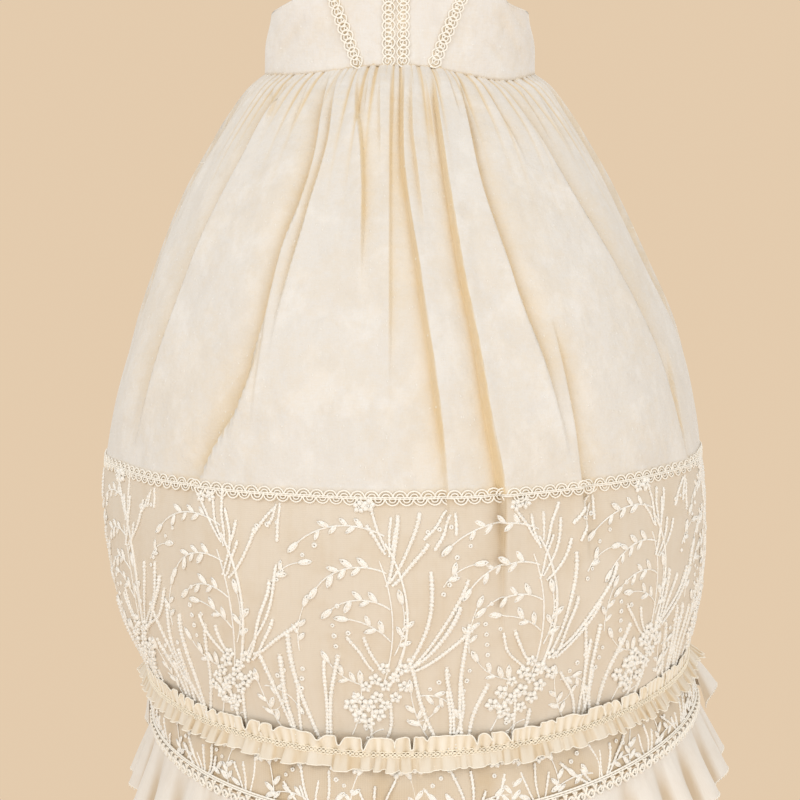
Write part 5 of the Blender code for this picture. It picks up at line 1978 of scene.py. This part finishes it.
def hem_place(centre, flat_x, flat_y, out):
    """A point of a spray on the lower tier, and the outward direction there."""
    theta = np.radians(centre) + flat_x * MM / SPRAY_RADIUS
    share = 1 - flat_y / HEM_SPRAY_HEIGHT
    return lifted(lower_tier_base, theta, share, out), outward(lower_tier_base, theta, share)


def bending_line(x, y, from_deg, to_deg, length, step=2.0, wiggle=0.0):
    """A flat line that starts in one direction and ends in another, and its directions."""
    count = max(3, round(length / step) + 1)
    turn = np.linspace(from_deg, to_deg, count) + wiggle * np.sin(np.linspace(0, tau, count))
    turn = np.radians(turn)
    steps = length / (count - 1) * np.stack((np.cos(turn), np.sin(turn)), axis=-1)
    return np.concatenate(([(x, y)], (x, y) + np.cumsum(steps[:-1], axis=0))), turn


def spray_cord(place_on, centre, line, radius):
    """A stroke of a spray as a cord that lies half sunk in the cloth."""
    radius = radius * MM
    path, facing = place_on(centre, *line.T, STROKE_STAND * radius + EMBROIDERY_LIFT)
    return Cord(path, radius, facing, False)


def reed_cords(fans, place_on, centre, random):
    """Thick reeds with rounded ends, of uneven length, fanned out from each foot."""
    cords = []
    for fan in fans:
        for k in range(fan.count):
            place = (k + 0.5) / fan.count - 0.5
            spread = fan.spread_deg * place
            start = fan.toward_deg + spread + random.uniform(-REED_JITTER_DEG, REED_JITTER_DEG)
            end = start + fan.bend_deg * random.uniform(*REED_BENDS) - spread * REED_STRAIGHTENING
            length = fan.length * random.uniform(*REED_LENGTHS)
            shift = -REED_FOOT_WIDTH * place * np.sign(sin(radians(fan.toward_deg)))
            foot = (fan.x + shift + random.uniform(-1, 1), fan.y + random.uniform(0, 6))
            wiggle = random.uniform(-REED_WIGGLE_DEG, REED_WIGGLE_DEG)
            line, _ = bending_line(*foot, start, end, length, wiggle=wiggle)
            taper = np.linspace(REED_FOOT_SHARE, 1.0, len(line))
            taper[-1] *= REED_TIP_SHARE
            radius = fan.radius * random.uniform(*REED_RADII) * taper
            cords.append(spray_cord(place_on, centre, line, radius))
    return cords


def branch_stems(branches, place_on, centre):
    cords = []
    for branch in branches:
        line, _ = bending_line(*branch[:5])
        radius = branch.radius * np.linspace(1.0, 0.8, len(line))
        cords.append(spray_cord(place_on, centre, line, radius))
    return cords


# Where a motif lies: its spray's centre, its place there, its direction and its size.
Mark = namedtuple("Mark", "centre x y toward_deg size")


def leaf_marks(spray, centre, random):
    """Leaves to the left and the right in turn, and one at each stem's tip."""
    marks = []
    for branch in spray.branches:
        if branch.leaves == 0:
            continue
        line, turn = bending_line(*branch[:5])
        size = branch.leaf_length / LEAF_MOTIF_LENGTH
        marks.append(Mark(centre, *line[-1], np.degrees(turn[-1]), TIP_LEAF_SIZE * size))
        for k in range(branch.leaves - 1):
            index = round((0.22 + 0.68 * k / branch.leaves) * (len(line) - 1))
            lean = LEAF_LEAN_DEG * (1 if k % 2 else -1) + random.uniform(-8, 8)
            toward = np.degrees(turn[index]) + lean
            marks.append(Mark(centre, *line[index], toward, size * random.uniform(*LEAF_SIZES)))
    return marks


def bead_marks(spray, centre, random):
    marks = []
    for row in spray.beads:
        for k in range(row.count):
            x = row.x + cos(radians(row.toward_deg)) * row.pitch * k
            y = row.y + sin(radians(row.toward_deg)) * row.pitch * k
            marks.append(Mark(centre, x, y, 0.0, random.uniform(*BEAD_SIZES)))
    return marks


def flower_marks(spray, centre, random):
    """Close rows of flowers, staggered, fewer in the outer rows."""
    marks = []
    for band in spray.flowers:
        along = np.array((cos(radians(band.toward_deg)), sin(radians(band.toward_deg))))
        across = np.array((-along[1], along[0]))
        for row in range(band.rows):
            offset = row - (band.rows - 1) / 2
            shorter = abs(offset) * band.gap
            for k in range(int((band.length - shorter) / band.gap) + 1):
                run = shorter / 2 + (k + 0.5 * (row % 2)) * band.gap
                jitter = random.uniform(-0.9, 0.9, 2)
                place = (band.x, band.y) + along * run + across * offset * band.gap + jitter
                toward = random.uniform(0, 360)
                marks.append(Mark(centre, *place, toward, random.uniform(*FLOWER_SIZES)))
    return marks


def marked_points(name, marks, place_on):
    """A mesh of single points with each motif's heading, facing and size."""
    centre, x, y, toward, size = np.array(marks).T
    places, facings = place_on(centre, x, y, np.full(len(x), EMBROIDERY_LIFT))
    level = unit(np.cross((0.0, 0.0, 1.0), facings))
    upward = np.cross(facings, level)
    turn = np.radians(toward)[:, None]
    mesh = bpy.data.meshes.new(name)
    mesh.from_pydata(places.tolist(), [], [])
    add_direction(mesh, "facing", facings)
    add_direction(mesh, "heading", level * np.cos(turn) + upward * np.sin(turn))
    add_number(mesh, "size_of_motif", size)
    return mesh


def spray_centres():
    """The sprays of the front, then more of them at an even pitch round the back."""
    last = FRONT_SPRAYS_DEG[-1]
    around = 360 + FRONT_SPRAYS_DEG[0] - last
    spaces = round(around / SPRAY_PITCH_DEG)
    return [*FRONT_SPRAYS_DEG, *(last + around * k / spaces for k in range(1, spaces))]


def make_embroidery(prefix, place_on, centres, spray, finish):
    """The reeds, the stems, and the leaves, beads and flowers of all the sprays."""
    random = np.random.default_rng(51)
    reeds, stems = [], []
    makers = {"leaf": leaf_marks, "bead": bead_marks, "flower": flower_marks}
    marks = {kind: [] for kind in makers}
    for centre in centres:
        reeds += reed_cords(spray.fans, place_on, centre, random)
        stems += branch_stems(spray.branches, place_on, centre)
        for kind, maker in makers.items():
            marks[kind] += maker(spray, centre, random)
    pieces = [
        grow_cords(
            prefix + "_reeds", reeds, finish, step=0.75 * MM, sides=4, knob_depth=0.30,
            knob_pitch=2.25 * MM, unevenness=0.14, seed=5,
        ),
        grow_cords(prefix + "_stems", stems, finish, step=1.15 * MM, sides=4, unevenness=0.15, seed=6),
    ]
    for kind, rows in marks.items():
        spots = marked_points(kind, rows, place_on)
        pieces.append(grow(f"{prefix}_{kind}s", spots, MOTIF_TREE, finish, motif=MOTIFS[kind]))
    return [piece for piece in pieces]


# ---- stage, camera, lights

CAMERA_PLACE = (0.0, -0.95, -0.260)
CAMERA_PITCH_DEG = -4.69
CAMERA_LENS_MM = 65.77
SENSOR_WIDTH_MM = 36.0
CLIP_START = 0.05
CLIP_END = 20.0
BACKDROP = (0.775, 0.600, 0.420, 1.0)
SURROUND_LIGHT = (1.0, 0.955, 0.89, 1.0)
SURROUND_STRENGTH = 0.79
FLOOR_HEIGHT = -1.6
FLOOR_RADIUS = 2.3
FLOOR_SEGMENTS = 96
FLOOR_ROUGHNESS = 0.9

Lamp = namedtuple("Lamp", "name place size power tint")
LAMPS = (
    Lamp("window_light", (-1.25, -1.45, 0.95), 1.2, 10.5, (1.0, 0.995, 0.985)),
    Lamp("fill_light", (1.3, -1.5, 0.1), 1.4, 5.4, (1.0, 0.98, 0.95)),
    Lamp("low_light", (0.2, -1.6, -0.95), 1.4, 4.5, (1.0, 0.98, 0.95)),
    Lamp("back_light", (0.4, 1.8, 0.8), 1.4, 10.0, (1.0, 0.97, 0.93)),
)
AIM = (0.0, 0.0, -0.30)


def place_in_scene(name, data, place, turn):
    made = bpy.data.objects.new(name, data)
    made.location = place
    made.rotation_euler = turn
    bpy.context.scene.collection.objects.link(made)
    return made


def set_camera():
    data = bpy.data.cameras.new("camera")
    data.lens = CAMERA_LENS_MM
    data.sensor_width = SENSOR_WIDTH_MM
    data.clip_start = CLIP_START
    data.clip_end = CLIP_END
    turn = (radians(90 + CAMERA_PITCH_DEG), 0.0, 0.0)
    bpy.context.scene.camera = place_in_scene("camera", data, CAMERA_PLACE, turn)


def set_lights():
    for lamp in LAMPS:
        data = bpy.data.lights.new(lamp.name, "AREA")
        data.shape = "DISK"
        data.size = lamp.size
        data.energy = lamp.power
        data.color = lamp.tint
        aim = Vector(AIM) - Vector(lamp.place)
        place_in_scene(lamp.name, data, lamp.place, aim.to_track_quat("-Z", "Y").to_euler())


def set_surround():
    """A soft light from all round, and the plain warm backdrop that shows behind."""
    world = bpy.data.worlds.new("studio")
    bpy.context.scene.world = world
    world.use_nodes = True
    tree = world.node_tree
    tree.nodes.clear()
    soft = node(tree, "ShaderNodeBackground", Color=SURROUND_LIGHT, Strength=SURROUND_STRENGTH)
    seen = node(tree, "ShaderNodeBackground", Color=BACKDROP, Strength=1.0)
    ray = node(tree, "ShaderNodeLightPath").outputs["Is Camera Ray"]
    either = node(tree, "ShaderNodeMixShader", _0=ray, _1=soft.outputs[0], _2=seen.outputs[0])
    node(tree, "ShaderNodeOutputWorld", _0=either.outputs[0])
    bpy.context.scene.view_settings.view_transform = "Standard"


def make_floor():
    mesh = bpy.data.meshes.new("floor")
    form = bmesh.new()
    bmesh.ops.create_circle(form, cap_ends=True, segments=FLOOR_SEGMENTS, radius=FLOOR_RADIUS)
    bmesh.ops.translate(form, verts=form.verts, vec=(0.0, 0.0, FLOOR_HEIGHT))
    form.to_mesh(mesh)
    form.free()
    material = bpy.data.materials.new("plain_floor")
    material.use_nodes = True
    shader = material.node_tree.nodes["Principled BSDF"]
    shader.inputs["Base Color"].default_value = BACKDROP
    shader.inputs["Roughness"].default_value = FLOOR_ROUGHNESS
    show("floor", mesh, material)


# ---- the whole gown

# The cottons' lit colours, and the gold that is painted into their shade.
IVORY = colour(0.768, 0.745, 0.718)
BODICE_IVORY = colour(0.815, 0.79, 0.77)
PAINTED_SHADE_GOLD = colour(0.775, 0.605, 0.365)

# The kind of a cloth's cut before it was sewn: its width, its length, how it hangs, what it
# lies on, what is sewn to it, and an area where the cut isn't a rectangle. No piece uses it.
Cut = namedtuple("Cut", "piece width length held rests_on sewn area", defaults=(None,))


def make_cotton_parts(lace):
    """The bodice and the skirt, with their braids, stitches and buttons."""
    cotton = cotton_finish("ivory_cotton", IVORY, PAINTED_SHADE_GOLD)
    bodice_cotton = cotton_finish("bodice_cotton", BODICE_IVORY, PAINTED_SHADE_GOLD)
    pearl = pearl_finish()
    pieces = [make_skirt(cotton), make_upper_braid(lace), make_edge_stitching(lace)]
    for panel in (FRONT_PANEL, BACK_LEFT_PANEL, BACK_RIGHT_PANEL):
        pieces.append(make_panel(panel, bodice_cotton))
    for strip in BODICE_STRIPS:
        pieces.append(make_bodice_braid(strip, lace))
    for number, height in enumerate(BUTTON_HEIGHTS, 1):
        pieces += make_button(number, height, pearl, lace)
    return pieces


def make_net_parts(lace):
    """The two tiers of net, with their embroidery and the lower braid."""
    # Each finish takes its lit colour, then the colour painted into its shade.
    net = net_finish("embroidered_net", colour(0.73, 0.655, 0.56), colour(0.60, 0.47, 0.31))
    thread = thread_finish(
        "embroidery_thread", colour(0.99, 0.975, 0.94), colour(0.84, 0.73, 0.56), 900, 0.6, 0.7
    )
    centres = spray_centres()
    shifted = [centre + SPRAY_PITCH_DEG / 2 for centre in centres]
    return [
        make_embroidered_tier(net), make_lower_tier(net), make_lower_braid(lace),
        *make_embroidery("tier_embroidery", tier_place, centres, TIER_SPRAY, thread),
        *make_embroidery("hem_embroidery", hem_place, shifted, HEM_SPRAY, thread),
    ]


def make_flounces_and_ruffle(lace):
    """The organza flounces with their picots, and the headed ruffle."""
    # Each finish takes its lit colour, then the colour painted into its shade.
    organza = plain_cloth_finish(
        "organza", colour(0.835, 0.795, 0.745), colour(0.64, 0.52, 0.38), 2600, 0.12
    )
    cream = plain_cloth_finish("cream_ruffle", colour(0.93, 0.89, 0.81), colour(0.74, 0.60, 0.39), 1900)
    frill_cream = plain_cloth_finish(
        "frill_cream", colour(0.84, 0.79, 0.705), colour(0.68, 0.55, 0.38), 1900
    )
    edge = thread_finish("rolled_edge", colour(0.97, 0.93, 0.84), colour(0.86, 0.76, 0.60))
    stitch = thread_finish("stitch_thread", colour(1.0, 0.93, 0.79), colour(0.84, 0.68, 0.44))
    flounce, hem = make_hem_flounce(organza)
    back_flounce, back_hem = make_back_flounce(organza)
    return [
        flounce, back_flounce, make_hem_picots("hem_picots", hem, True, lace),
        make_hem_picots("back_picots", back_hem, False, lace),
        *make_ruffle(cream, frill_cream, edge), make_ruffle_stitching(stitch),
    ]


def dress():
    """The whole gown, its camera and its lights."""
    set_camera()
    set_lights()
    set_surround()
    make_floor()
    # The lace's lit colour, then the colour painted into its shade.
    lace = thread_finish("lace_thread", colour(0.985, 0.955, 0.89), colour(0.88, 0.77, 0.60))
    pieces = make_cotton_parts(lace) + make_net_parts(lace) + make_flounces_and_ruffle(lace)
    for motif in MOTIFS.values():
        bpy.data.objects.remove(motif)
    for piece in pieces:
        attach(piece, "root")


dress()
